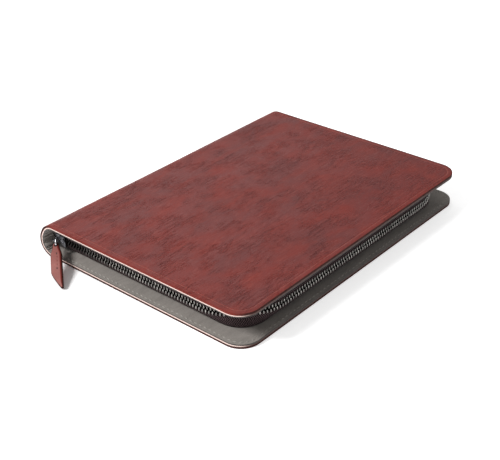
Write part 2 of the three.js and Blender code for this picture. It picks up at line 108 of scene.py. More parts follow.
# How far a layer's cut edge is rounded, on its outer and its inner side.
ARRIS = {
    "leather": (0.12 * MM, 0.03 * MM),
    "core": (0.05 * MM, 0.05 * MM),
    "lining": (0.04 * MM, 0.18 * MM),
}
TAB_ARRIS = (0.32 * MM, 0.02 * MM)
PANEL_ARRIS = (0.2 * MM, 0.05 * MM)
LOOP_ARRIS = (0.15 * MM, 0.15 * MM)
EDGE_FALL = 0.2 * MM
DOME = 1.5 * MM
WAVES = 0.3 * MM
CREASES = 0.18 * MM
PUCKER = 1.1 * MM
STITCH_PITCH = 3.84 * MM
STITCH_LENGTH = 2.7 * MM
THREAD = 0.3 * MM
OUTER_STITCH_INSET = 3.6 * MM
INNER_STITCH_INSET = 2.6 * MM
OUTER_GROOVE = 0.2 * MM
INNER_GROOVE = 0.14 * MM
# The zip. Its taut chain cuts each corner by a pull inwards and rides up there.
TOOTH_DEPTH = 2.6 * MM
TOOTH_PITCH = 2.54 * MM
TOOTH_THICKNESS = 0.85 * MM
ROW_WIDTH = 2.55 * MM
HEAD_REACH = 0.45 * MM
CHAIN_RADIUS = 26 * MM
CORNER_PULL = 3 * MM
CORNER_RISE = 2.8 * MM
CORNER_SPREAD = 30 * MM
TAPE_HALF = 0.3 * MM
TAPE_EDGE = ROW_WIDTH - 0.8 * MM
TAPE_TAIL = 9 * MM
BACK_TAPE_GAP = 1.9 * MM
FRONT_TAPE_EXTRA = 1.6 * MM
# The pull.
SLIDER_WALL = 1.1 * MM
WIRE = 0.6 * MM
TAB_DROOP = radians(14.8)
TAB_ROLL = radians(8)
TAB_LENGTH = 41 * MM
TAB_WIDTH = 7.6 * MM
TAB_HOLE = 2.4 * MM
TAB_HOLE_RADIUS = 1.25 * MM
TAB_TOP_RADIUS = 2.1 * MM
TAB_TIP_RADIUS = 0.7 * MM
TAB_LAYER = 1 * MM
SLANT_SHARE = 0.34
TAB_ARCH = 0.9 * MM
TAB_TWIST = 0.12
# The tab's long straight side is rounded off and painted dark further in than its other sides, by this share.
TAB_STRAIGHT_SIDE_SHARE = 0.2
TAB_SEAM_START = 9.5 * MM
TAB_SEAM_PITCH = 3.4 * MM
TAB_STITCH_LENGTH = 2.2 * MM
TAB_SEAM_OFFSET = 0.3 * MM
# The inside. A panel's radii are at the spine's side and at the open side.
PANEL_RADII = (6 * MM, 20.6 * MM)
SLOT_RADII = (4 * MM, 4 * MM)
HEM = 2.2 * MM
HEM_GROOVE = 0.12 * MM
PANEL_PUFF = 0.9 * MM
CLOTH_CELL = 4 * MM
CLOTH_FRAMES = 24
SLIT = (-60 * MM, 60 * MM, 32 * MM, 35 * MM)
LOOP_LEATHER = 0.7 * MM
# The stage. The camera is turned about its own axes, one after another.
FLOOR_HALF = 3.0
FLOOR_DROP = 0.25 * MM
AROUND_LIGHT = 0.43
CAMERA_LENS = 72.41
CAMERA_PLACE = (0.4007, -0.4689, 0.3573)
CAMERA_TURNS = ((radians(41.003), "Z"), (radians(59.642), "X"), (radians(-1.1775), "Z"))


# ---- The line of the sheet in X and Z ----

def heading(angle):
    return Vector((cos(angle), sin(angle)))


class SheetLine:
    """The outside of the sheet: straight over the covers, with one arc at each fold of the spine."""

    def __init__(self):
        folds = [Vector((JOINTS[name]["pos_m"][0], JOINTS[name]["pos_m"][2])) for name in FOLD_NAMES]
        self.turn = pi / len(folds)
        halves = [(b - a).length / 2 for a, b in zip(folds, folds[1:])]
        reach = [min(a, b) for a, b in zip(halves[:1] + halves, halves + halves[-1:])]
        self.runs = []
        self.length = 0
        here = Vector((OPEN_EDGE, 0))
        angle = pi
        for fold, half in zip(folds, reach):
            tangent = half * FLAT_SHARE
            start = fold - heading(angle) * tangent
            self.add_run(here, angle, (start - here).length, 0)
            radius = tangent / tan(self.turn / 2)
            self.add_run(start, angle, radius * self.turn, radius)
            angle -= self.turn
            here = fold + heading(angle) * tangent
        self.add_run(here, angle, (Vector((OPEN_EDGE, CASE_TOP)) - here).length, 0)
        # The sheet is split just inside each cover and at the middle of each strip.
        middles = [begin + length / 2 for begin, _, _, length, _ in self.runs[2:-1:2]]
        self.marks = [self.runs[1][0] - LEAD] + middles + [self.runs[-1][0] + LEAD]

    def add_run(self, start, angle, length, radius):
        self.runs.append((self.length, start, angle, length, radius))
        self.length += length

    def at(self, s):
        """The point (x, z), and the heading's angle, at a distance along the outside."""
        begin, start, angle, _, radius = [run for run in self.runs if run[0] <= max(s, 0) + TINY][-1]
        along = s - begin
        if radius == 0:
            return start + heading(angle) * along, angle
        centre = start + heading(angle - pi / 2) * radius
        angle -= along / radius
        return centre - heading(angle - pi / 2) * radius, angle


LINE = SheetLine()
BACK_END = LINE.marks[0]
FRONT_START = LINE.marks[-1]


def lumps(x, y, z):
    """Smooth noise from -1 to 1."""
    return noise.noise(Vector((x, y, z)))


def smooth_step(value):
    """0 to 1 with a soft start and end."""
    value = min(max(value, 0.0), 1.0)
    return value * value * (3 - 2 * value)


def crease_depth(s, y):
    """Shallow folds in the leather, long in the spine's direction."""
    wander = lumps(s * 18, y * 9, 4.0) * 0.9
    ridged = 1 - abs(lumps(s * 260 + wander * 3, y * 22, 1.5)) * 2
    patch = smooth_step(lumps(s * 16, y * 11, 7.0) * 1.6 + 0.45)
    return max(ridged - 0.72, 0) * patch * CREASES


def swell(s, y):
    """How far the sheet stands out from its flat shape: a soft dome and waves, none on the table."""
    wave = lumps(s * 14, y * 11, 2.0)
    if s < LINE.length / 2:
        near_spine = smooth_step((s - BACK_END + 20 * MM) / (30 * MM))
        return -near_spine * abs(wave) * WAVES / 2
    along = (s - FRONT_START) / (LINE.length - FRONT_START)
    across = 1 - abs(y) / HALF_LENGTH
    rise = smooth_step(along / 0.4) * smooth_step((1 - along) / 0.35) * smooth_step(across / 0.5)
    return DOME * rise + wave * WAVES * smooth_step(across / 0.2 + 0.3)


def sheet_point(s, y, depth):
    """The place in the row frame of sheet coordinates."""
    point, angle = LINE.at(s)
    lift = depth - swell(s, y)
    return Vector((point.x + sin(angle) * lift, y, point.y - cos(angle) * lift))


# ---- Helpers for frames and meshes ----

def turned_frame(origin, turns):
    """A frame at a point, turned about its own axes one after another."""
    made = Matrix.Translation(origin)
    for angle, axis in turns:
        made = made @ Matrix.Rotation(angle, 4, axis)
    return made


def add_object(name, data):
    made = bpy.data.objects.new(name, data)
    bpy.context.scene.collection.objects.link(made)
    return made


def settle(piece, body, slot, *nodes):
    """Makes a piece move with a body and stand for CAD nodes, which it hides. The slot is not used."""
    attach(piece, body)
    if nodes:
        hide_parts(*nodes)


def keep_values(mesh, name, kind, values):
    """Keeps a value or a vector for each point of a mesh."""
    key = "vector" if kind == "FLOAT_VECTOR" else "value"
    mesh.attributes.new(name, kind, "POINT").data.foreach_set(key, np.array(values, np.float32).ravel())


def mesh_object(name, points, faces, grain, rim, material, sharp=40):
    """A mesh piece with its grain coordinates and its distance from the cut edge kept on its points."""
    mesh = bpy.data.meshes.new(name)
    mesh.from_pydata([tuple(point) for point in points], [], faces)
    mesh.validate()
    keep_values(mesh, "grain", "FLOAT_VECTOR", [tuple(place) for place in grain])
    keep_values(mesh, "rim", "FLOAT", rim or [1.0] * len(points))
    piece = add_object(name, mesh)
    work = bmesh.new()
    work.from_mesh(mesh)
    bmesh.ops.recalc_face_normals(work, faces=work.faces)
    work.to_mesh(mesh)
    work.free()
    mesh.shade_smooth()
    mesh.set_sharp_from_angle(angle=radians(sharp))
    mesh.materials.append(material)
    return piece


def join_shells(name, shells, material, sharp=35, grain=None):
    """Several closed shells as one piece."""
    points = []
    faces = []
    for more_points, more_faces in shells:
        faces += [[number + len(points) for number in face] for face in more_faces]
        points += more_points
    return mesh_object(name, points, faces, grain or points, None, material, sharp)


def sweep_faces(stations, around, closed=False):
    """The faces of a closed outline carried through stations, which end in caps or come full circle."""
    faces = [] if closed else [
        list(range(around)), list(range((stations - 1) * around, stations * around))[::-1]]
    for station in range(stations if closed else stations - 1):
        here = station * around
        there = (station + 1) % stations * around
        for side in range(around):
            after = (side + 1) % around
            faces.append([here + side, there + side, there + after, here + after])
    return faces


def tube(stations, around, closed=False):
    """A tube through stations. Each is its middle and the two half axes of its oval."""
    points = []
    for middle, first, second in stations:
        for side in range(around):
            turn = 2 * pi * side / around
            points.append(middle + first * cos(turn) + second * sin(turn))
    return points, sweep_faces(len(stations), around, closed)


class Grid:
    """Flat cells that share their corner points. A point is (s or x, y, distance from the cut edge)."""

    def __init__(self):
        self.points = []
        self.faces = []
        self.index = {}

    def point(self, a, y, rim):
        key = (round(a * 1e7), round(y * 1e7))
        if key not in self.index:
            self.index[key] = len(self.points)
            self.points.append((a, y, rim))
        return self.index[key]

    def patch(self, rows):
        """Adds the cells between rows of points."""
        numbers = [[self.point(*point) for point in row] for row in rows]
        for low, high in zip(numbers, numbers[1:]):
            for a, b, c, d in zip(low, low[1:], high[1:], high):
                corners = list(dict.fromkeys((a, b, c, d)))
                if len(corners) > 2:
                    self.faces.append(self.counter_clockwise(corners))

    def counter_clockwise(self, corners):
        places = [self.points[number] for number in corners]
        pairs = zip(places, places[1:] + places[:1])
        area = sum(p[0] * q[1] - q[0] * p[1] for p, q in pairs)
        return corners if area > 0 else corners[::-1]

    def drop(self, inside):
        """Takes away the cells whose middle lies in a hole."""
        def middle(face):
            return [sum(self.points[n][axis] for n in face) / len(face) for axis in (0, 1)]
        self.faces = [face for face in self.faces if not inside(*middle(face))]

    def border(self):
        """The edges that belong to one cell only, in the direction of their cell."""
        edges = {edge for face in self.faces for edge in zip(face, face[1:] + face[:1])}
        return sorted(edge for edge in edges if (edge[1], edge[0]) not in edges)


def steps(low, high, cell):
    """Evenly spaced values from low to high, no further apart than a cell."""
    return list(np.linspace(low, high, max(int(ceil((high - low) / cell)), 1) + 1))


def edge_levels(radius, arris, seam):
    """Distances in from a cut edge, close together round the arris and the seam's groove."""
    widest = max(arris)
    corner = [widest * (1 - sin(radians(angle))) for angle in (90, 60, 30, 0)]
    spread = (-1.1, -0.75, -0.5, -0.25, 0, 0.25, 0.5, 0.75, 1.1)
    middle = [seam + offset * MM for offset in spread if seam + offset * MM > widest * 1.5]
    inner = steps(middle[-1], radius, 2.4 * MM)[1:]
    return sorted(set(corner + middle + inner), reverse=True)


def cover_outline_grid(width, half, radius, levels, cells):
    """A grid from 0 to a width, square at the start and with rounded corners at the end."""
    grid = Grid()
    xs = steps(0, width - radius, cells[0])
    ys = steps(-half + radius, half - radius, cells[1])
    grid.patch([[(x, y, radius) for x in xs] for y in ys])
    grid.patch([[(x, -half + level, level) for x in xs] for level in levels])
    grid.patch([[(x, half - level, level) for x in xs] for level in levels])
    grid.patch([[(width - level, y, level) for y in ys] for level in levels])
    for y, start in ((-half + radius, -90), (half - radius, 0)):
        outs = [heading(radians(start + angle)) for angle in np.linspace(0, 90, 13)]
        grid.patch([[(width - radius + out.x * (radius - level), y + out.y * (radius - level), level)
                     for out in outs] for level in levels])
    return grid


def panel_grid(low, high, radii, levels, cell, marks):
    """A grid over a panel: even rows inside a band that follows the rounded outline."""
    band = levels[0]
    rounds = [radius - band for radius in radii]
    near, far = low.y + band, high.y - band
    bends = [radius * (1 - cos(radians(angle))) for radius in rounds for angle in range(0, 91, 9)]
    tallest = max(rounds)
    ys = set(steps(near + tallest, far - tallest, cell) + list(marks[1]))
    ys = sorted(ys | {near + bend for bend in bends} | {far - bend for bend in bends})
    full = (low.x + band, high.x - band)
    shares = [(x - full[0]) / (full[1] - full[0]) for x in sorted(set(steps(*full, cell) + list(marks[0])))]

    def side(y, index):
        """Where a row meets one side of the outline, and the outline's outward direction there."""
        sign = (-1, 1)[index]
        radius = rounds[index]
        drop = max(radius - min(y - near, far - y), 0)
        reach = sqrt(max(radius ** 2 - drop ** 2, 0))
        out = Vector((sign * reach, -drop if y < (near + far) / 2 else drop)) / radius
        return full[index] - sign * (radius - reach), out

    grid = Grid()
    ends = [(side(y, 0), side(y, 1), y) for y in ys]
    rows = [[(a + (b - a) * share, y, band) for share in shares] for (a, _), (b, _), y in ends]
    grid.patch(rows)
    grid.patch([[(x, y - band + level, level) for x, y, _ in rows[0]] for level in levels])
    grid.patch([[(x, y + band - level, level) for x, y, _ in rows[-1]] for level in levels])
    for index in (0, 1):
        rim = [(end[index][0], end[2], end[index][1]) for end in ends]
        grid.patch([[(x + out.x * (band - level), y + out.y * (band - level), level) for x, y, out in rim]
                    for level in levels])
    return grid


def rounding(rim, arris):
    """How far a rounded arris drops away at a distance from the cut edge."""
    return arris - sqrt(arris ** 2 - max(arris - rim, 0) ** 2)


def groove(rim, inset, depth, width=0.42 * MM):
    """A sunk line along the stitches."""
    return depth * exp(-(((rim - inset) / width) ** 2))


def no_dip(a, y, rim):
    return 0.0


def plate(name, grid, place, depths, arris, material, outer_dip=no_dip, inner_dip=no_dip):
    """A closed sheet piece over a grid, between two depths, with its cut edges rounded."""
    low, high = depths
    count = len(grid.points)
    spots = [(a, y, low + rounding(rim, arris[0]) + outer_dip(a, y, rim)) for a, y, rim in grid.points]
    spots += [(a, y, high - rounding(rim, arris[1]) - inner_dip(a, y, rim)) for a, y, rim in grid.points]
    faces = [list(face) for face in grid.faces]
    faces += [[number + count for number in reversed(face)] for face in grid.faces]
    faces += [[b, a, a + count, b + count] for a, b in grid.border()]
    rims = [rim for _, _, rim in grid.points] * 2
    return mesh_object(name, [place(*spot) for spot in spots], faces, spots, rims, material)


# ---- Materials ----

def srgb(red, green, blue):
    """A colour given as screen values from 0 to 255, as the renderer's linear values."""
    def linear(value):
        share = value / 255
        return share / 12.92 if share <= 0.04045 else ((share + 0.055) / 1.055) ** 2.4
    return (linear(red), linear(green), linear(blue), 1.0)


EVEN = (1, 1, 1)


class Shader:
    """A node material being built up from a first tone, with one short call for each kind of node."""

    def __init__(self, name, tone):
        self.material = bpy.data.materials.new(name)
        self.material.use_nodes = True
        self.tree = self.material.node_tree
        self.surface = self.tree.nodes["Principled BSDF"]
        self.tone = tone

    def feed(self, socket, value):
        if isinstance(value, bpy.types.NodeSocket):
            self.tree.links.new(value, socket)
        else:
            socket.default_value = srgb(*value) if socket.type == "RGBA" else value

    def node(self, kind, inputs, **settings):
        made = self.tree.nodes.new("ShaderNode" + kind)
        for key, value in settings.items():
            setattr(made, key, value)
        for key, value in inputs.items():
            self.feed(made.inputs[key], value)
        return made

    def grain(self, stretch=EVEN):
        """The piece's grain coordinates in millimetres, stretched along each axis."""
        source = self.node("Attribute", {}, attribute_name="grain")
        factors = tuple(1 / MM / length for length in stretch)
        inputs = {0: source.outputs["Vector"], 1: factors}
        return self.node("VectorMath", inputs, operation="MULTIPLY").outputs[0]

    def axes(self):
        """The three grain coordinates in millimetres."""
        return self.node("SeparateXYZ", {0: self.grain()}).outputs

    def rim(self):
        """The distance from the cut edge in millimetres."""
        source = self.node("Attribute", {}, attribute_name="rim")
        return self.times(source.outputs["Fac"], 1 / MM)

    def math(self, operation, first, second=0.0):
        return self.node("Math", {0: first, 1: second}, operation=operation).outputs[0]

    def times(self, first, second):
        return self.math("MULTIPLY", first, second)

    def distance(self, first, second):
        return self.math("ABSOLUTE", self.math("SUBTRACT", first, second))

    def noise(self, stretch, size, detail=3.0, roughness=0.5, distortion=0.0):
        """Noise whose lumps are about one size across in millimetres, stretched along each axis."""
        inputs = {"Vector": self.grain(stretch), "Scale": 1 / size, "Detail": detail,
                  "Roughness": roughness, "Distortion": distortion}
        return self.node("TexNoise", inputs).outputs[0]

    def wave(self, value, length):
        """A sine from -1 to 1 of a wavelength in the value's units."""
        return self.math("SINE", self.times(value, 2 * pi / length))

    def span(self, value, low, high, to_low=0.0, to_high=1.0):
        """A value moved from one range to another, and held inside it."""
        inputs = {"Value": value, "From Min": low, "From Max": high, "To Min": to_low, "To Max": to_high}
        return self.node("MapRange", inputs).outputs[0]

    def mix(self, share, first, second):
        made = self.node("Mix", {}, data_type="RGBA")
        for socket, value in ((0, share), (6, first), (7, second)):
            self.feed(made.inputs[socket], value)
        return made.outputs[2]

    def tint(self, colour, value, *limits):
        """Lays a colour over the tone, by a share or by a value spanned between limits."""
        self.tone = self.mix(self.span(value, *limits) if limits else value, self.tone, colour)

    def bump(self, height, distance, below=None, strength=1.0):
        """A bump of a height in millimetres, over another one if given."""
        inputs = {"Height": height, "Distance": distance * MM, "Strength": strength}
        if below is not None:
            inputs["Normal"] = below
        return self.node("Bump", inputs).outputs[0]

    def finish(self, roughness, **more):
        inputs = {"Base_Color": self.tone, "Roughness": roughness, **more}
        for key, value in inputs.items():
            self.feed(self.surface.inputs[key.replace("_", " ")], value)
        return self.material


def leather_material(name, tones, edges, crease=1.0, stitched=True, paint=(0.12, 0.6)):
    """Smooth leather. Tones are deep, plain and bright, and paint is how far in the edge's paint goes.

    Edges are two tones of the painted cut edge. On the covers the first, dark one is painted shade for the
    sides away from the light, and the second is the edge's lit tone. The second one is for the front cover's
    near side or, on leather with no stitch line, for the inner part of the painted band.
    """
    deep, plain, bright = tones
    shader = Shader(name, deep)
    broad = shader.noise((1, 1.6, 1), 30, 2, 0.5)
    clouds = shader.noise((1, 2.2, 1), 13, 4, 0.55, 0.4)
    streaks = shader.noise((1, 6, 1), 1.2, 4, 0.6, 0.9)
    fold = leather_creases(shader)
    shader.tint(plain, broad, 0.36, 0.64, 0.2, 0.85)
    shader.tint(bright, clouds, 0.42, 0.72, 0, 0.6)
    shader.tint(deep, streaks, 0.48, 0.72, 0.0, 0.32)
    shader.tint((158, 92, 82), streaks, 0.28, 0.48, 0.2, 0.0)
    # Painted shade: the creases are darkened towards the deep tone.
    shader.tint(deep, shader.times(fold, 0.22 * crease))
    rim = shader.rim()
    redder = shader.span(rim, paint[0] * 0.3, paint[0])
    if stitched:
        # On the covers the edge takes its lit tone on the front cover's near side and painted shade
        # elsewhere.
        redder = front_near_side(shader)
        stitch_band_and_highlight(shader, rim, bright)
    shader.tint(shader.mix(redder, *edges), rim, *paint, 0.95, 0.0)
    pores = shader.node("TexVoronoi", {"Vector": shader.grain(), "Scale": 1 / 0.7}).outputs["Distance"]
    hills = shader.bump(streaks, 0.18 * crease, shader.bump(pores, 0.05))
    hills = shader.bump(shader.times(fold, -1.0), 0.2 * crease, hills)
    shine = shader.span(clouds, 0.3, 0.7, 0.44, 0.56)
    return shader.finish(shine, Normal=hills, Specular_IOR_Level=shader.span(rim, *paint, 0.03, 0.24))


def front_near_side(shader):
    """1 on the front cover's near side and 0 on the other sides."""
    along, y, _ = shader.axes()
    top = shader.span(along, FRONT_START / MM - 9, FRONT_START / MM)
    near = shader.span(y, 6 - HALF_LENGTH / MM, 1 - HALF_LENGTH / MM)
    return shader.times(top, near)


def stitch_band_and_highlight(shader, rim, bright):
    """A slightly redder band outside the stitches and a painted highlight: a light line under them, where the
    sunk line's slope catches the light.
    """
    inset = OUTER_STITCH_INSET / MM
    shader.tint(bright, rim, inset - 1.2, inset, 0.25, 0.0)
    # The painted highlight along the stitch line.
    shader.tint((168, 88, 76), shader.distance(rim, inset), 0.1, 0.5, 0.35, 0.0)


def leather_creases(shader):
    """Thin creases, 1 along their middle and 0 beside them, long in the spine's direction."""
    patches = shader.noise(EVEN, 19, 2)
    kinds = []
    for stretch, size, low in (((1, 9, 1), 2.6, 0.42), ((1, 5, 1), 4.2, 0.5)):
        lines = shader.noise(stretch, size, 3, 0.55, 1.1)
        line = shader.span(shader.distance(lines, 0.5), 0.0, 0.03, 1.0, 0.0)
        kinds.append(shader.times(line, shader.span(patches, low, low + 0.14)))
    return shader.math("MAXIMUM", *kinds)


def core_material():
    """The pale raw core: fibres along the cut, and painted shade along the open edges, which face away from
    the light.

    The leather's edge paint runs a little way over it.
    """
    shader = Shader("raw_core", (206, 178, 168))
    fibre = shader.noise((3, 3, 0.5), 0.5, 4, 0.65)
    shader.tint((236, 214, 205), fibre, 0.3, 0.7)
    shader.tint((214, 182, 170), shader.noise(EVEN, 6, 3), 0.4, 0.7, 0, 0.4)
    along, _, depth = shader.axes()
    last = LINE.length / MM
    back = shader.span(along, 1.0, 5.0, 1.0, 0.0)
    front = shader.span(along, last - 5.0, last - 1.0, 0.0, 0.95)
    # Painted shade along both open edges.
    shader.tint((80, 57, 51), shader.math("ADD", back, front))
    first = LAYER_DEPTHS["core"][0] / MM
    painted = shader.span(depth, first + 0.2, first + 0.32, 0.95, 0.0)
    # The leather's edge tones run over the core's outer part: lit on the front cover's near side, painted
    # shade elsewhere.
    shader.tint(shader.mix(front_near_side(shader), *LEATHER_EDGES_SHADED_AND_LIT), painted)
    return shader.finish(0.85, Normal=shader.bump(fibre, 0.15))


def lining_material():
    """Grey suede-like lining with a short brushed nap, and a painted highlight where its wrinkles stand up in
    the spine.
    """
    shader = Shader("grey_lining", (112, 106, 101))
    nap = shader.noise(EVEN, 0.28, 4, 0.7)
    brushed = shader.noise((1, 3, 1), 4, 4, 0.6, 0.5)
    inside = SHEET / MM
    shader.tint((146, 139, 132), nap, 0.3, 0.7)
    shader.tint((96, 90, 84), brushed, 0.4, 0.7, 0, 0.45)
    # Painted highlight on the crests of the wrinkles.
    shader.tint((188, 181, 174), shader.axes()[2], inside + 0.15, inside + 0.9, 0, 0.6)
    shader.tint((44, 39, 37), shader.rim(), 0.05, 0.35, 0.95, 0.0)
    hills = shader.bump(brushed, 0.2, shader.bump(nap, 0.12), 0.5)
    return shader.finish(0.92, Normal=hills, Sheen_Weight=0.25, Sheen_Roughness=0.6, Specular_IOR_Level=0.2)


def tape_material():
    """Black herringbone tape; its grain coordinates run along and across the tape."""
    shader = Shader("zip_tape_weave", (7, 5, 5))
    along, across, _ = shader.axes()
    slanted = shader.math("ADD", along, shader.math("PINGPONG", across, 2.6))
    rib = shader.span(shader.wave(slanted, 1.5), -0.35, 0.6)
    thread = shader.span(shader.wave(across, 0.42), -1, 1)
    weave = shader.math("ADD", rib, shader.times(thread, 0.2))
    shader.tint((88, 71, 73), weave, 0.1, 1.1)
    shader.tint((26, 20, 20), shader.noise(EVEN, 1.6, 3), 0.45, 0.75, 0, 0.25)
    return shader.finish(0.9, Normal=shader.bump(weave, 0.18), Specular_IOR_Level=0.15)


def thread_material(name, dark, light):
    """Twisted sewing thread."""
    shader = Shader(name, dark)
    x, y, z = shader.axes()
    total = shader.math("ADD", shader.math("ADD", x, y), z)
    twist = shader.span(shader.wave(total, 0.35), -1, 1)
    shader.tint(light, twist)
    return shader.finish(0.6, Normal=shader.bump(twist, 0.06))


def plating(shader, light, roughness, wear):
    """Brushed streaks, small dents and duller patches on plated metal; gives its roughness and bumps."""
    streaks = shader.noise((6, 1, 1), 0.5, 3, 0.6)
    patches = shader.noise(EVEN, 2.2, 3, 0.6)
    shader.tint(light, patches, 0.35, 0.65)
    rough = shader.span(streaks, 0.3, 0.7, roughness - wear, roughness + wear)
    return rough, shader.bump(patches, 0.05, shader.bump(streaks, 0.02), 0.5)


def metal_material(name, dark, light, roughness, wear):
    shader = Shader(name, dark)
    rough, hills = plating(shader, light, roughness, wear)
    return shader.finish(rough, Normal=hills, Metallic=1.0)


def teeth_material():
    """Zip teeth: bright on their outer and inner faces, with painted shade in the gaps between them and near
    the slider.

    Their grain coordinates are the distance along the chain, across the tape, then the height.
    """
    shader = Shader("zip_teeth_metal", (104, 102, 100))
    rough, hills = plating(shader, (176, 173, 168), 0.3, 0.08)
    along, across, _ = shader.axes()
    # Painted shade where the teeth's sides face each other across the gaps.
    between = shader.span(shader.math("ABSOLUTE", across), 0.75, 1.12, 1.0, 0.0)
    # Painted shade along the chain near the slider, where the cover's edge shades the teeth.
    shade_by_the_slider = shader.span(along, 14, 44, 0.92, 0.0)
    painted_shade = shader.math("MAXIMUM", between, shade_by_the_slider)
    shader.tint((26, 23, 22), painted_shade)
    rough = shader.math("ADD", rough, shader.times(painted_shade, 0.3))
    return shader.finish(rough, Normal=hills, Metallic=1.0)


def floor_material():
    """A plain pale floor, faintly uneven, that glows as painted light, which washes out the case's shadows,
    except near the pull, where the pull's shadow stays.
    """
    shader = Shader("floor_surface", (250, 250, 250))
    place = shader.node("TexCoord", {}).outputs["Object"]
    cloudy = {"Vector": place, "Scale": 2.5, "Detail": 2, "Roughness": 0.5}
    shader.tint((255, 255, 255), shader.node("TexNoise", cloudy).outputs[0])
    pull = tuple(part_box("pull_tab_lower")[0])
    away = shader.node("VectorMath", {0: place, 1: pull}, operation="DISTANCE").outputs["Value"]
    # Painted light: the floor's glow, none near the pull and rising away from it.
    painted_glow = shader.span(away, 0.03, 0.15, 0.0, 0.55)
    return shader.finish(0.9, Specular_IOR_Level=0.1, Emission_Color=shader.tone, Emission_Strength=painted_glow)


LEATHER_TONES = ((96, 40, 38), (114, 41, 36), (130, 44, 33))
# The leather's cut-edge tones: a dark one that is painted shade for edges away from the light, and a lit one.
LEATHER_EDGES_SHADED_AND_LIT = ((56, 33, 30), (112, 46, 40))
TAB_TONES = ((126, 73, 68), (148, 95, 89), (156, 101, 94))
TAB_EDGES = ((38, 16, 12), (104, 34, 30))
LEATHER = leather_material("cover_leather", LEATHER_TONES, LEATHER_EDGES_SHADED_AND_LIT)
SLOT_LEATHER = leather_material("inside_leather", LEATHER_TONES, LEATHER_EDGES_SHADED_AND_LIT, 0.6)
TAB_LEATHER = leather_material("pull_tab_leather", TAB_TONES, TAB_EDGES, 0.5, False, (0.27, 0.36))
LINING = lining_material()
LAYER_MATERIALS = {"leather": LEATHER, "core": core_material(), "lining": LINING}
TAPE = tape_material()
RED_THREAD = thread_material("red_thread", (116, 54, 48), (164, 90, 80))
TAB_THREAD = thread_material("tab_thread", (112, 50, 46), (168, 96, 88))
DARK_THREAD = thread_material("dark_thread", (28, 14, 13), (66, 34, 31))
GREY_THREAD = thread_material("grey_thread", (134, 130, 124), (186, 181, 174))
DARK_METAL = metal_material("dark_nickel", (66, 66, 70), (118, 118, 122), 0.3, 0.1)
TEETH_METAL = teeth_material()
BRIGHT_METAL = metal_material("bright_nickel", (205, 206, 210), (232, 233, 236), 0.18, 0.06)


# ---- The covers and the spine ----

def leather_dip(s, y, rim):
    """What is sunk into the leather: creases, the stitch line and, on the front cover, a fall to the edge."""
    share = smooth_step((s - FRONT_START) / (9 * MM) + 1)
    fall = share * EDGE_FALL * (1 - smooth_step(rim / OUTER_STITCH_INSET)) ** 1.5
    return fall + groove(rim, OUTER_STITCH_INSET, OUTER_GROOVE) + crease_depth(s, y)


def lining_dip(s, y, rim):
    """The stitch line sunk into the lining, less its wrinkles."""
    return groove(rim, INNER_STITCH_INSET, INNER_GROOVE) - pucker(s, y)


def pucker(s, y):
    """The lining's wrinkles inside the spine, where the sheet is pressed short; they stand inwards."""
    share = (s - BACK_END) / (FRONT_START - BACK_END)
    wander = lumps(s * 60, y * 30, 3.0) * 0.4
    ridge = 1 - abs(lumps(s * 330, y * 20 + wander, 9.0)) * 2.2
    fade = smooth_step(share / 0.15) * smooth_step((1 - share) / 0.15)
    beside_pen_loop = smooth_step((abs(y) - PEN_LOOP_HALF) / (12 * MM))
    return max(ridge, 0) ** 2 * fade * beside_pen_loop * PUCKER


def layer_levels(layer):
    inset = INNER_STITCH_INSET if layer == "lining" else OUTER_STITCH_INSET
    return edge_levels(CORNER_RADIUS, ARRIS[layer], inset)


def sheet_plate(name, grid, layer):
    """A piece of one layer of the sheet."""
    outer_dip = leather_dip if layer == "leather" else no_dip
    inner_dip = lining_dip if layer == "lining" else no_dip
    piece = plate(name, grid, sheet_point, LAYER_DEPTHS[layer], ARRIS[layer], LAYER_MATERIALS[layer],
                  outer_dip, inner_dip)
    return piece


def cover_width(front):
    return LINE.length - FRONT_START if front else BACK_END


def from_spine(front, across):
    """How far along the sheet a place on a cover is, from its distance out from the spine's pieces."""
    return FRONT_START + across if front else BACK_END - across


def cover_layer(side, layer):
    """One layer of one cover, from its open edge to where the spine's pieces start."""
    front = side == "front"
    cells = {"leather": (0.9 * MM, 4 * MM), "core": (8 * MM, 8 * MM), "lining": (3 * MM, 4 * MM)}[layer]
    grid = cover_outline_grid(cover_width(front), HALF_LENGTH, CORNER_RADIUS, layer_levels(layer), cells)
    grid.points = [(from_spine(front, across), y, rim) for across, y, rim in grid.points]
    piece = sheet_plate(f"{side}_cover_{layer}_sheet", grid, layer)
    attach(piece, f"{side}_cover")
    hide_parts(f"{side}_cover_{layer}")


def spine_layer(number, layer):
    """One layer of the spine over one fold line, from the middle of one strip to the next."""
    levels = layer_levels(layer)
    middle = steps(-HALF_LENGTH + CORNER_RADIUS, HALF_LENGTH - CORNER_RADIUS, 4 * MM)
    ys = [(-HALF_LENGTH + level, level) for level in reversed(levels)]
    ys += [(y, CORNER_RADIUS) for y in middle[1:-1]]
    ys += [(HALF_LENGTH - level, level) for level in levels]
    cell = 0.35 * MM if layer == "lining" else 0.6 * MM
    stations = steps(LINE.marks[number - 1], LINE.marks[number], cell)
    grid = Grid()
    grid.patch([[(s, y, rim) for s in stations] for y, rim in ys])
    piece = sheet_plate(f"spine_{layer}_over_fold_{number}", grid, layer)
    bend_over_fold(piece, number)
    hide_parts(f"spine_{layer}_{min(number, len(FOLD_NAMES) - 1)}")


def bend_over_fold(piece, number):
    """Works out the ends and the bodies beside one fold line, which nothing uses, and bakes the piece's place
    into its mesh; the piece does not bend.
    """
    start, end = (sheet_point(mark, 0, 0) for mark in LINE.marks[number - 1:number + 1])
    bodies = SHEET_BODIES[number - 1:number + 1]
    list(bodies)
    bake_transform(piece)


# ---- Stitches ----

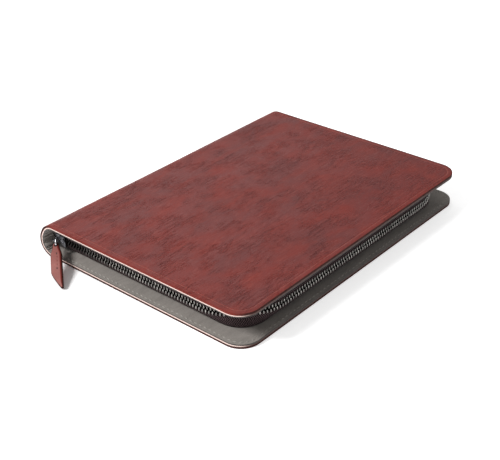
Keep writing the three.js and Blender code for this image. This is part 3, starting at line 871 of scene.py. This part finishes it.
# A seam's inset, name, thread and slot, its depth from the outside, and +1 if it is seen from inside.
SEAMS = (
    (OUTER_STITCH_INSET, "outer", RED_THREAD, "leather", 0.44 * MM, -1),
    (INNER_STITCH_INSET, "inner", GREY_THREAD, "lining", SHEET - 0.12 * MM, 1),
)


def thread_loop(start, end, out):
    """One stitch: a short thread that rises out of one hole and dips into the next."""
    across = (end - start).normalized().cross(out)
    stations = []
    for share in np.linspace(0, 1, 7):
        bow = sin(pi * share)
        girth = THREAD * (0.55 + 0.45 * bow)
        middle = start + (end - start) * float(share) + out * (THREAD * (bow * 1.5 - 0.9))
        stations.append((middle, across * girth, out * girth))
    return tube(stations, 6)


def stitch_object(name, stitches, material):
    """All the stitches of one seam as one piece. A stitch is (start, end, outward direction)."""
    return join_shells(name, [thread_loop(*stitch) for stitch in stitches], material, 80)


def sheet_stitch(middle, length, at, depth, facing):
    """A stitch on the sheet round a distance along its seam, which at() turns into (s, y)."""
    first, second = (at(middle + share * length) for share in (-0.5, 0.5))
    _, angle = LINE.at((first[0] + second[0]) / 2)
    inward = Vector((sin(angle), 0, -cos(angle)))
    return sheet_point(*first, depth), sheet_point(*second, depth), inward * facing


class EdgeLine:
    """A line from above along a near edge, round a corner, along the open edge and back on the far side."""

    def __init__(self, start, side, near, radius):
        self.start = start
        self.near = near
        self.radius = radius
        self.straight = side - radius - start
        self.corner_end = self.straight + radius * pi / 2
        self.half = self.corner_end - near - radius

    def nearer(self, distance):
        """The distance from the nearer of the line's two ends."""
        return min(distance, 2 * self.half - distance)

    def at(self, distance):
        """The point and the inward direction at a distance along the line."""
        run = self.nearer(distance)
        turn = min(max((run - self.straight) / self.radius, 0), pi / 2)
        x = self.start + min(run, self.straight) + self.radius * sin(turn)
        y = self.near + self.radius * (1 - cos(turn)) + max(run - self.corner_end, 0)
        mirror = 1 if distance <= self.half else -1
        return Vector((x, mirror * y)), Vector((-sin(turn), mirror * cos(turn)))


def cover_stitches(side, inset, where, thread, slot, depth, facing):
    """The seam round one cover, as seen from outside or from inside."""
    front = side == "front"
    line = EdgeLine(0, cover_width(front) - inset, -HALF_LENGTH + inset, CORNER_RADIUS - inset)

    def at(distance):
        point = line.at(distance)[0]
        return from_spine(front, point.x), point.y

    count = int(2 * line.half / STITCH_PITCH)
    pitch = 2 * line.half / count
    middles = [(number + 0.5) * pitch for number in range(count)]
    stitches = [sheet_stitch(middle, STITCH_LENGTH, at, depth, facing) for middle in middles]
    piece = stitch_object(f"{side}_cover_{where}_stitches", stitches, thread)
    settle(piece, f"{side}_cover", slot)


def spine_stitches(number, inset, where, thread, slot, depth, facing):
    """The seam at both ends of the spine over one fold line."""
    start, end = LINE.marks[number - 1:number + 1]
    count = max(round((end - start) / STITCH_PITCH), 1)
    pitch = (end - start) / count
    shown = min(STITCH_LENGTH, pitch * 0.72)
    stitches = []
    for y in (-HALF_LENGTH + inset, HALF_LENGTH - inset):
        for middle in (start + (step + 0.5) * pitch for step in range(count)):
            stitches.append(sheet_stitch(middle, shown, lambda s: (s, y), depth, facing))
    piece = stitch_object(f"spine_{where}_stitches_{number}", stitches, thread)
    bend_over_fold(piece, number)


def build_sheet():
    for side in ("back", "front"):
        for layer in LAYER_SLOTS:
            cover_layer(side, layer)
        for seam in SEAMS:
            cover_stitches(side, *seam)
    for number in range(1, len(FOLD_NAMES) + 1):
        for layer in LAYER_SLOTS:
            spine_layer(number, layer)
        for seam in SEAMS:
            spine_stitches(number, *seam)


# ---- The zip ----

def chain_line():
    """The line of the chain from above, along the middle of the teeth."""
    low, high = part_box("zip_teeth_back")
    return EdgeLine(low.x, high.x - TOOTH_DEPTH / 2, low.y + TOOTH_DEPTH / 2, CHAIN_RADIUS)


ZIP = chain_line()


def corner_share(distance):
    """The share, 0 to 1, of the corner's pull and rise at a distance along the chain."""
    middle = (ZIP.straight + ZIP.corner_end) / 2
    return 1 - smooth_step(abs(ZIP.nearer(distance) - middle) / CORNER_SPREAD)


def tape_stations(first, last):
    """Distances along the chain, close together round the corners."""
    bends = [ZIP.straight, ZIP.corner_end]
    marks = [first] + bends + [2 * ZIP.half - bend for bend in reversed(bends)] + [last]
    found = []
    for number, (a, b) in enumerate(zip(marks, marks[1:])):
        found += steps(a, b, 1.6 * MM if number % 2 else 3.2 * MM)[:-1]
    return found + [last]


def tape_profile(root, rise):
    """A tape's closed outline in (inward, height), from its sewn foot to its corded edge and back."""
    shape = [(9, 0.42), (7, 0.42), (5.2, 0.46), (4.0, 0.72), (3.0, 1.25), (2.1, 2.0), (1.3, 2.9),
             (0.7, 3.8), (0.3, 4.7), (0.08, 5.6), (0, 6.4)]
    top = abs(CHAIN_HEIGHT - rise * TAPE_EDGE - root)
    tallest = shape[-1][1]
    line = [Vector((inward * MM, root + rise * height / tallest * top)) for inward, height in shape]
    left = []
    right = []
    for before, point, after in zip(line[:1] + line, line, line[1:] + line[-1:]):
        along = (after - before).normalized()
        cord = 2.0 if point == line[-1] else 1.0
        out = Vector((-along.y, along.x)) * TAPE_HALF * cord
        left.append(point + out)
        right.append(point - out)
    return left + right[::-1]


def tape(side, rise, root, last):
    """One zip tape. Near both ends its foot draws in and the tape curls inside the case."""
    profile = tape_profile(root, rise)
    lengths = [0.0]
    for a, b in zip(profile, profile[1:]):
        lengths.append(lengths[-1] + (b - a).length)
    wall = abs(root - CHAIN_HEIGHT) - TAPE_EDGE
    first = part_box(f"zip_tape_{side}")[0].x - ZIP.start
    stations = tape_stations(first, last)
    points = []
    grain = []
    for distance in stations:
        beyond = max(first + TAPE_TAIL - distance, distance - last + TAPE_TAIL, 0) / TAPE_TAIL
        held = 1 - smooth_step(beyond)
        point, inward = ZIP.at(distance)
        curl = beyond ** 2 * 5 * MM
        ripple = lumps(distance * 60, 3.0, rise) * 0.25 * MM
        corner = corner_share(distance)
        for place, across in zip(profile, lengths):
            low = min(max((abs(place.y - CHAIN_HEIGHT) - TAPE_EDGE) / wall, 0), 1)
            steep = 1 - 0.7 * corner * (1 - smooth_step((place.x - 4 * MM) / (3 * MM)))
            reach = place.x * (0.35 + 0.65 * held) * steep + curl + ripple * low
            spot = point + inward * (reach + corner * CORNER_PULL * (1 - low))
            height = place.y + rise * (1 - held) * low * 2.2 * MM + corner * CORNER_RISE * (1 - low)
            points.append(Vector((spot.x, spot.y, height)))
            grain.append((distance, across, 0))
    faces = sweep_faces(len(stations), len(profile))
    piece = mesh_object(f"zip_tape_{side}_weave", points, faces, grain, None, TAPE, 60)
    settle(piece, f"{side}_cover", "zip_tape", f"zip_tape_{side}")


def tooth_outline():
    """A tooth in (across the tape, height over the chain's middle): two legs, shoulders and a head."""
    deep = TOOTH_DEPTH / 2
    slot = TAPE_HALF * 2.2
    right = [(slot, -ROW_WIDTH), (0.9 * deep, -ROW_WIDTH), (deep, -0.93 * ROW_WIDTH),
             (deep, -0.8 * MM), (0.9 * deep, -0.4 * MM), (0.6 * deep, -0.15 * MM),
             (0.5 * deep, 0.6 * HEAD_REACH), (0.34 * deep, HEAD_REACH)]
    left = [(-across, height) for across, height in reversed(right)]
    inner = [(-slot, -ROW_WIDTH + 1.1 * MM), (slot, -ROW_WIDTH + 1.1 * MM)]
    return [Vector(point) for point in right + left + inner]


def teeth(side, rise, first):
    """One row of teeth, each clamped on its tape's edge."""
    outline = tooth_outline()
    middle = Vector((0, -0.8 * MM))
    half = TOOTH_THICKNESS / 2
    flat = half - 0.12 * MM
    slices = [(-half, 0.92), (-flat, 1), (flat, 1), (half, 0.92)]
    faces = sweep_faces(len(slices), len(outline))
    shells = []
    grain = []
    distance = first
    while distance < 2 * ZIP.half - 3 * MM:
        place, inward = ZIP.at(distance)
        corner = corner_share(distance)
        place = place + inward * corner * CORNER_PULL
        along = Vector((inward.y, -inward.x))
        points = []
        for offset, scale in slices:
            for local in (middle + (point - middle) * scale for point in outline):
                spot = place + along * offset + inward * local.x
                height = CHAIN_HEIGHT + corner * CORNER_RISE + rise * local.y
                points.append(Vector((spot.x, spot.y, height)))
                grain.append((distance + offset, local.x, local.y))
        shells.append((points, faces))
        distance += TOOTH_PITCH
    piece = join_shells(f"zip_teeth_{side}_row", shells, TEETH_METAL, 30, grain)
    settle(piece, f"{side}_cover", "dark_metal", f"zip_teeth_{side}")


def soften_stop(name):
    """Rounds the edges of one of the zip's stops, a CAD piece that stays, and gives it its material."""
    node = frame["nodes"][name]
    mesh = node.data
    keep_values(mesh, "grain", "FLOAT_VECTOR", [tuple(vertex.co) for vertex in mesh.vertices])
    mesh.materials.clear()
    mesh.materials.append(DARK_METAL)
    rounded = node.modifiers.new("rounded_edges", "BEVEL")
    rounded.width = 0.25 * MM
    rounded.segments = 3
    rounded.limit_method = "ANGLE"
    rounded.angle_limit = radians(35)


def build_zip():
    back_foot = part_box("zip_tape_back")[0]
    tape("back", 1, back_foot.z, 2 * ZIP.half + ZIP.start - back_foot.x - BACK_TAPE_GAP)
    tape("front", -1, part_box("zip_tape_front")[1].z, 2 * ZIP.half + FRONT_TAPE_EXTRA)
    teeth("back", 1, TOOTH_PITCH / 4)
    teeth("front", -1, TOOTH_PITCH * 3 / 4)
    for name in ("zip_top_stop_back", "zip_top_stop_front", "zip_bottom_stop"):
        soften_stop(name)


# ---- The slider and its pull ----

def prism(outline, low, high, bevel, place):
    """A closed slab over an outline, with bevelled rims. Place puts (u, v, height) in the row frame."""
    middle = sum(outline, Vector((0, 0))) / len(outline)
    shrink = bevel / max((point - middle).length for point in outline)
    ramp = [(0, 1), (0.3, 0.3), (1, 0)]
    slices = [(low + bevel * rise, 1 - shrink * share) for rise, share in ramp]
    slices += [(high - bevel * rise, 1 - shrink * share) for rise, share in reversed(ramp)]
    points = []
    for height, scale in slices:
        for local in (middle + (point - middle) * scale for point in outline):
            points.append(place(local.x, local.y, height))
    return points, sweep_faces(len(slices), len(outline))


def curved_outline(knots, controls, count=6):
    """A closed outline of quadratic curves in millimetres, from each knot past a control to the next."""
    knots = [Vector(knot) * MM for knot in knots]
    found = []
    for start, control, end in zip(knots, controls, knots[1:] + knots[:1]):
        for t in (step / count for step in range(count)):
            found.append(start * (1 - t) ** 2 + Vector(control) * MM * 2 * t * (1 - t) + end * t * t)
    return found


def slider_outline():
    """The slider's plate: broad at the nose, which has a shallow dip, and narrower at the tail."""
    half = 4.2
    end = 5.5
    nose = 1.2 - end
    knots = [(nose, -half - 0.4), (end - 1, -half), (end, 1 - half), (end, half - 1), (end - 1, half),
             (nose, half + 0.4), (-end, half - 1.4), (-end, 1.4 - half)]
    controls = [(0, -half), (end, -half), (end + 0.3, 0), (end, half), (0, half), (-end, half),
                (0.6 - end, 0), (-end, -half)]
    return curved_outline(knots, controls)


def build_slider():
    """Two plates, their turned-in flanges, and the post that parts the teeth."""
    low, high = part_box("slider_body")
    centre = (low + high) / 2
    inside = (high.y - low.y) / 2 - SLIDER_WALL
    outline = slider_outline()

    def place(u, v, height):
        return Vector((centre.x + u, centre.y + height, CHAIN_HEIGHT + v))

    shells = []
    for side in (-1, 1):
        levels = sorted((side * inside, side * (inside + SLIDER_WALL)))
        shells.append(prism(outline, *levels, 0.3 * MM, place))
        for edge in (-1, 1):
            rail = [(-4.4, 3.35), (5.2, 3.35), (5.2, 4.05), (-4.4, 4.35)][::edge]
            rail = [Vector((u, edge * v)) * MM for u, v in rail]
            reach = sorted((side * 0.75 * MM, side * (inside + 0.15 * MM)))
            shells.append(prism(rail, *reach, 0.12 * MM, place))
    post = curved_outline([(-4.5, 0), (-2.7, 0)], [(-4.2, -0.3), (-4.2, 0.3)])
    half = inside + 0.1 * MM
    shells.append(prism(post, -half, half, 0.05 * MM, place))
    body = join_shells("slider_casting", shells, DARK_METAL)
    settle(body, "slider", "dark_metal", "slider_body")


def build_bridge():
    """The arch that holds the ring's wire, a rounded strap of metal."""
    low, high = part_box("slider_bridge")
    half_span = (high.x - low.x) / 2 - 0.4 * MM
    rise = high.y - low.y - 0.42 * MM
    centre = (low + high) / 2
    squareness = 0.55
    stations = []
    for turn in np.linspace(0, pi, 25):
        u = -half_span * copysign(abs(cos(turn)) ** squareness, cos(turn))
        v = rise * abs(sin(turn)) ** squareness
        middle = Vector((centre.x + u, high.y + 0.1 * MM - v, CHAIN_HEIGHT))
        outward = Vector((copysign(abs(u) ** 1.6, u), -(v ** 1.6), 0)).normalized()
        stations.append((middle, UP * 0.6 * MM, outward * 0.36 * MM))
    piece = join_shells("slider_bridge_strap", [tube(stations, 10)], DARK_METAL, 60)
    settle(piece, "slider", "dark_metal", "slider_bridge")


def pull_frame(origin, droop, roll):
    """A frame at a point whose +X leads out along the pull, drooping and rolled about its length."""
    return turned_frame(origin, ((atan2(PULL_LEAD.y, PULL_LEAD.x), "Z"), (droop, "Y"), (roll, "X")))


def build_ring():
    """The bright wire ring, a little thinner where its ends are butted on the tab's side."""
    droop = atan2(-PULL_LEAD.z, hypot(PULL_LEAD.x, PULL_LEAD.y))
    world = pull_frame(PIVOT, droop, 0)
    count = 64
    stations = []
    for turn in (2 * pi * number / count for number in range(count)):
        out = Vector((cos(turn), 0, sin(turn)))
        near_joint = exp(-(((turn - radians(75)) / 0.045) ** 2))
        girth = WIRE * (1 - 0.12 * near_joint)
        middle = Vector((RING_RADIUS, 0, 0)) + out * RING_RADIUS
        stations.append((middle, out * girth, Vector((0, girth, 0))))
    points, faces = tube(stations, 14, closed=True)
    shell = ([world @ point for point in points], faces)
    piece = join_shells("pull_ring_wire", [shell], BRIGHT_METAL, 60)
    settle(piece, "ring", "bright_metal", "pull_ring")


def round_end(along, radius):
    """The share of its width that the tab has at a distance from one of its rounded ends."""
    return sqrt(max(1 - (1 - min(along / radius, 1)) ** 2, 0.01))


def tab_sides(along):
    """Where the tab's two long sides are, across from its middle, at a distance from its top."""
    half = TAB_WIDTH / 2
    wide = TAB_TOP_RADIUS + (half - TAB_TOP_RADIUS) * smooth_step((along - 1.5 * MM) / (11 * MM))
    slant = max(along / TAB_LENGTH - 1 + SLANT_SHARE, 0) / SLANT_SHARE
    left = -wide + (TAB_WIDTH - 1.5 * MM) * slant ** 1.2
    middle = (left + wide) / 2
    ends = round_end(along, TAB_TOP_RADIUS) * round_end(TAB_LENGTH - along, TAB_TIP_RADIUS)
    reach = (wide - left) / 2 * ends
    return middle - reach, middle + reach


def tab_place(along, across, lift):
    """A place on the tab: it arches a little out of its plane and its free end turns slightly."""
    share = along / TAB_LENGTH
    arch = sin(pi * share) * TAB_ARCH + across * share * share * TAB_TWIST
    world = pull_frame(RING_CENTRE, TAB_DROOP, TAB_ROLL)
    return world @ Vector((RING_RADIUS - TAB_HOLE + along, across, lift + arch))


def tab_layer(name, side, replaced):
    """One leather layer of the tab, above or below the glue line, with a hole for the ring."""
    shares = [sin(radians(angle)) for angle in np.linspace(-90, 90, 17)]
    close = (0.1 * MM, 0.25 * MM)
    rows = set(steps(0, TAB_LENGTH, 0.5 * MM)) | set(close) | {TAB_LENGTH - end for end in close}
    patch = []
    for along in sorted(rows):
        left, right = tab_sides(along)
        reach = (right - left) / 2
        row = []
        for share in shares:
            rim = reach * (1 - abs(share)) * (TAB_STRAIGHT_SIDE_SHARE if share > 0 else 1)
            row.append((along, (right + left) / 2 + reach * share, min(rim, along, TAB_LENGTH - along)))
        patch.append(row)
    grid = Grid()
    grid.patch(patch)

    def place(along, across, depth):
        return tab_place(along, across, side * (TAB_LAYER - depth))

    piece = plate(name, grid, place, (0, TAB_LAYER - 0.02 * MM), TAB_ARRIS, TAB_LEATHER)
    centre = tab_place(TAB_HOLE, 0, 0)
    cut_hole(piece, centre, tab_place(TAB_HOLE, 0, TAB_LAYER) - centre, TAB_HOLE_RADIUS)
    settle(piece, "tab", "tab_leather", replaced)


def cut_hole(piece, centre, axis, radius):
    """Cuts a round hole through a piece."""
    work = bmesh.new()
    bmesh.ops.create_cone(work, cap_ends=True, segments=32, radius1=radius, radius2=radius, depth=8 * MM)
    work.transform(Matrix.Translation(centre) @ axis.to_track_quat("Z", "Y").to_matrix().to_4x4())
    mesh = bpy.data.meshes.new("hole_cutter")
    work.to_mesh(mesh)
    work.free()
    cutter = add_object("hole_cutter", mesh)
    change = piece.modifiers.new("hole", "BOOLEAN")
    change.operation = "DIFFERENCE"
    change.solver = "EXACT"
    change.object = cutter
    bpy.context.view_layer.update()
    ready = piece.evaluated_get(bpy.context.evaluated_depsgraph_get())
    result = bpy.data.meshes.new_from_object(ready)
    piece.modifiers.clear()
    piece.data = result
    bpy.data.objects.remove(cutter)


def tab_stitches(name, numbers, material):
    """Some of the row of stitches down the middle of the tab, on both faces, counted from the ring."""
    stitches = []
    for side in (-1, 1):
        for along in (TAB_SEAM_START + number * TAB_SEAM_PITCH for number in numbers):
            ends = [tab_place(along + shift, TAB_SEAM_OFFSET, side * TAB_LAYER)
                    for shift in (0, TAB_STITCH_LENGTH)]
            out = tab_place(along, 0, side * 2 * TAB_LAYER) - tab_place(along, 0, side * TAB_LAYER)
            stitches.append((*ends, out.normalized()))
    settle(stitch_object(name, stitches, material), "tab", "tab_leather")


def build_tab():
    tab_layer("pull_tab_face", 1, "pull_tab_upper")
    tab_layer("pull_tab_backing", -1, "pull_tab_lower")
    tab_stitches("pull_tab_stitches", (1, 2, 3), TAB_THREAD)
    tab_stitches("pull_tab_end_stitches", (0, 4), DARK_THREAD)


# ---- The inside ----

def relaxed_sheet(width, length, slack, pressure):
    """Heights of a cloth sewn down round its rim and pushed out softly, over an even grid of cells."""
    columns = int(width / CLOTH_CELL) + 1
    rows = int(length / CLOTH_CELL) + 1
    cells = [(x, y) for y in range(rows) for x in range(columns)]
    points = [(x * CLOTH_CELL, y * CLOTH_CELL, lumps(x * 0.31, y * 0.27, 5.0) * 0.02 * MM) for x, y in cells]
    starts = [y * columns + x for x, y in cells if x < columns - 1 and y < rows - 1]
    faces = [(start, start + 1, start + columns + 1, start + columns) for start in starts]
    mesh = bpy.data.meshes.new("relaxing")
    mesh.from_pydata(points, [], faces)
    cloth_object = add_object("relaxing", mesh)
    rim = [y * columns + x for x, y in cells if y in (0, rows - 1) or x in (0, columns - 1)]
    cloth_object.vertex_groups.new(name="sewn").add(rim, 1.0, "REPLACE")
    cloth = cloth_object.modifiers.new("cloth", "CLOTH")
    cloth.settings.vertex_group_mass = "sewn"
    cloth.settings.shrink_min = -slack
    cloth.settings.shrink_max = -slack
    cloth.settings.use_pressure = True
    cloth.settings.uniform_pressure_force = pressure
    cloth.settings.bending_stiffness = 3
    cloth.settings.effector_weights.gravity = 0
    cloth.point_cache.frame_end = CLOTH_FRAMES
    for number in range(1, CLOTH_FRAMES + 1):
        bpy.context.scene.frame_set(number)
    ready = cloth_object.evaluated_get(bpy.context.evaluated_depsgraph_get())
    heights = np.array([vertex.co.z for vertex in ready.data.vertices]).reshape(rows, columns)
    bpy.data.objects.remove(cloth_object)
    bpy.context.scene.frame_set(1)
    return heights


def puff_over(low, high):
    """A function that gives a soft panel's puff at a place, held between nothing and a cap."""
    heights = relaxed_sheet(high.x - low.x, high.y - low.y, 0.006, 0.6)
    rows, columns = heights.shape

    def puffed(x, y):
        u = min(max((x - low.x) / CLOTH_CELL, 0), columns - 1.001)
        v = min(max((y - low.y) / CLOTH_CELL, 0), rows - 1.001)
        i, j = int(u), int(v)
        a, b = u - i, v - j
        first = heights[j, i] * (1 - a) + heights[j, i + 1] * a
        second = heights[j + 1, i] * (1 - a) + heights[j + 1, i + 1] * a
        return min(max(first * (1 - b) + second * b, 0.0), PANEL_PUFF)

    return puffed


def hem_runs(node, radii, sides):
    """Lengths, and points from 0 to 1, of the hem's seam along chosen sides, with the corners between."""
    low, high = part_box(node)
    spine, open_side = (radius - HEM for radius in radii)
    left, right = low.x + HEM + spine, high.x - HEM - open_side
    near, far = low.y + HEM, high.y - HEM
    # Each side's end corner: the middle of its arc, its radius and its first angle.
    corners = {
        "near": (Vector((right, near + open_side)), open_side, -90),
        "open": (Vector((right, far - open_side)), open_side, 0),
        "far": (Vector((left, far - spine)), spine, 90),
        "spine": (Vector((left, near + spine)), spine, 180),
    }

    def round_corner(side, share):
        middle, radius, first = corners[side]
        return middle + heading(radians(first + 90 * share)) * radius

    names = list(corners)
    runs = []
    for side in sides:
        start = round_corner(names[names.index(side) - 1], 1)
        end = round_corner(side, 0)
        runs.append(((end - start).length, partial(start.lerp, end)))
    for side, after in zip(names, names[1:] + names[:1]):
        if side in sides and after in sides:
            runs.append((corners[side][1] * pi / 2, partial(round_corner, side)))
    return runs


def panel(node, kind, facing, puffed, sides, slit=None):
    """A panel over the lining, hemmed round its rim and sewn down along chosen sides.

    Kind is the slot it takes its finish from. Facing is +1 for a panel that looks up.
    """
    low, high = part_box(node)
    body = "back_cover" if facing > 0 else "front_cover"
    radii, ending, material, thread = {
        "lining": (PANEL_RADII, "sheet", LINING, GREY_THREAD),
        "leather": (SLOT_RADII, "leather", SLOT_LEATHER, RED_THREAD),
    }[kind]
    marks = (slit[0:2], slit[2:4]) if slit else ((), ())
    grid = panel_grid(low, high, radii, edge_levels(min(radii) - 0.4 * MM, PANEL_ARRIS, HEM), 3 * MM, marks)
    if slit:
        grid.drop(lambda x, y: slit[0] < x < slit[1] and slit[2] < y < slit[3])
    seen = high.z if facing > 0 else low.z

    def place(x, y, depth):
        return Vector((x, y, seen + facing * (puffed(x, y) - depth)))

    def hem_dip(x, y, rim):
        return groove(rim, HEM, HEM_GROOVE)

    piece = plate(f"{node}_{ending}", grid, place, (0, high.z - low.z), PANEL_ARRIS, material, hem_dip)
    settle(piece, body, kind, node)
    stitches = []
    for length, at in hem_runs(node, radii, sides):
        count = max(int(length / STITCH_PITCH), 1)
        half = min(STITCH_LENGTH / length, 0.7 / count) / 2
        for middle in ((number + 0.5) / count for number in range(count)):
            ends = [place(*at(middle + shift), 0.1 * MM) for shift in (-half, half)]
            stitches.append((*ends, UP * facing))
    settle(stitch_object(f"{node}_stitches", stitches, thread), body, kind)


def build_panels():
    """The pad panel on the back cover, and the document pocket and card slots on the front cover."""
    puffed = puff_over(*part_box("pad_panel"))
    panel("pad_panel", "lining", 1, puffed, ("near", "open", "far", "spine"), SLIT)
    panel("document_pocket", "lining", -1, puffed, ("near", "open", "far"))
    for number in (1, 2, 3):
        panel(f"card_slot_{number}", "leather", -1, puffed, ("near", "open", "spine"))


def build_pen_loop():
    """A leather loop for a pen, flattened where it is sewn to the spine."""
    low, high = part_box("pen_loop")
    centre = (low + high) / 2
    radius = (high.x - low.x) / 2
    columns = 48
    close = (0.05 * MM, 0.15 * MM)
    ys = sorted(steps(low.y, high.y, 1.5 * MM) + [low.y + e for e in close] + [high.y - e for e in close])
    turns = [2 * pi * column / columns for column in range(columns)]
    grid = Grid()
    grid.points = [(turn, y, min(y - low.y, high.y - y)) for y in ys for turn in turns]
    for start in range(0, (len(ys) - 1) * columns, columns):
        for column in range(columns):
            a = start + column
            b = start + (column + 1) % columns
            grid.faces.append([a, b, b + columns, a + columns])

    def place(turn, y, depth):
        x = cos(turn) * (radius - depth)
        z = sin(turn) * (radius - depth)
        flat_side = -radius * 0.86 + depth
        if x < flat_side:
            z *= 1 + (flat_side - x) / radius * 0.8
            x = flat_side
        return Vector((centre.x + x - radius * 0.12, y, centre.z + z))

    piece = plate("pen_loop_leather", grid, place, (0, LOOP_LEATHER), LOOP_ARRIS, SLOT_LEATHER)
    settle(piece, "spine_strip_3", "leather", "pen_loop")


# ---- The stage ----

def area_light(name, place, size, power):
    """A soft lamp that aims at the middle of the row frame."""
    data = bpy.data.lights.new(name, "AREA")
    data.shape = "RECTANGLE"
    data.size, data.size_y = size
    data.energy = power
    lamp = add_object(name, data)
    lamp.location = place
    lamp.rotation_mode = "QUATERNION"
    lamp.rotation_quaternion = (-Vector(place)).to_track_quat("-Z", "Y")


def build_floor():
    mesh = bpy.data.meshes.new("floor")
    signs = ((-1, -1), (1, -1), (1, 1), (-1, 1))
    mesh.from_pydata([(FLOOR_HALF * x, FLOOR_HALF * y, -FLOOR_DROP) for x, y in signs], [], [(0, 1, 2, 3)])
    mesh.materials.append(floor_material())
    add_object("floor", mesh)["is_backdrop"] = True


def build_lights():
    """Soft white light from all round, with a window on the near left and a sheen from behind.

    The camera itself sees a white backdrop.
    """
    world = bpy.data.worlds.new("studio")
    bpy.context.scene.world = world
    world.use_nodes = True
    nodes = world.node_tree.nodes
    background = nodes["Background"]
    background.inputs[0].default_value = (1, 1, 1, 1)
    strength = nodes.new("ShaderNodeMapRange")
    strength.inputs["To Min"].default_value = AROUND_LIGHT
    camera_ray = nodes.new("ShaderNodeLightPath").outputs["Is Camera Ray"]
    world.node_tree.links.new(camera_ray, strength.inputs["Value"])
    world.node_tree.links.new(strength.outputs[0], background.inputs[1])
    area_light("window", (-0.55, -1.0, 1.0), (0.4, 0.4), 23)
    area_light("sheen", (-1.0, 0.7, 0.9), (1.0, 0.6), 4)
    bpy.context.scene.view_settings.view_transform = "Standard"


def build_camera():
    """The camera at the photograph's angle, rolled very slightly."""
    data = bpy.data.cameras.new("camera")
    data.lens = CAMERA_LENS
    data.sensor_width = 36
    camera = add_object("camera", data)
    camera.matrix_world = turned_frame(CAMERA_PLACE, CAMERA_TURNS)
    bpy.context.scene.camera = camera


def write_sizes():
    """The CAD model's box and the visual model's box, set side by side; nothing writes or compares them."""
    boxes = {"cad": CAD_BOX, "visual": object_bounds()}
    plain = {name: [list(corner) for corner in box] for name, box in boxes.items()}


build_sheet()
build_zip()
build_slider()
build_bridge()
build_ring()
build_tab()
build_panels()
build_pen_loop()
build_floor()
build_lights()
build_camera()
bpy.context.view_layer.update()
write_sizes()
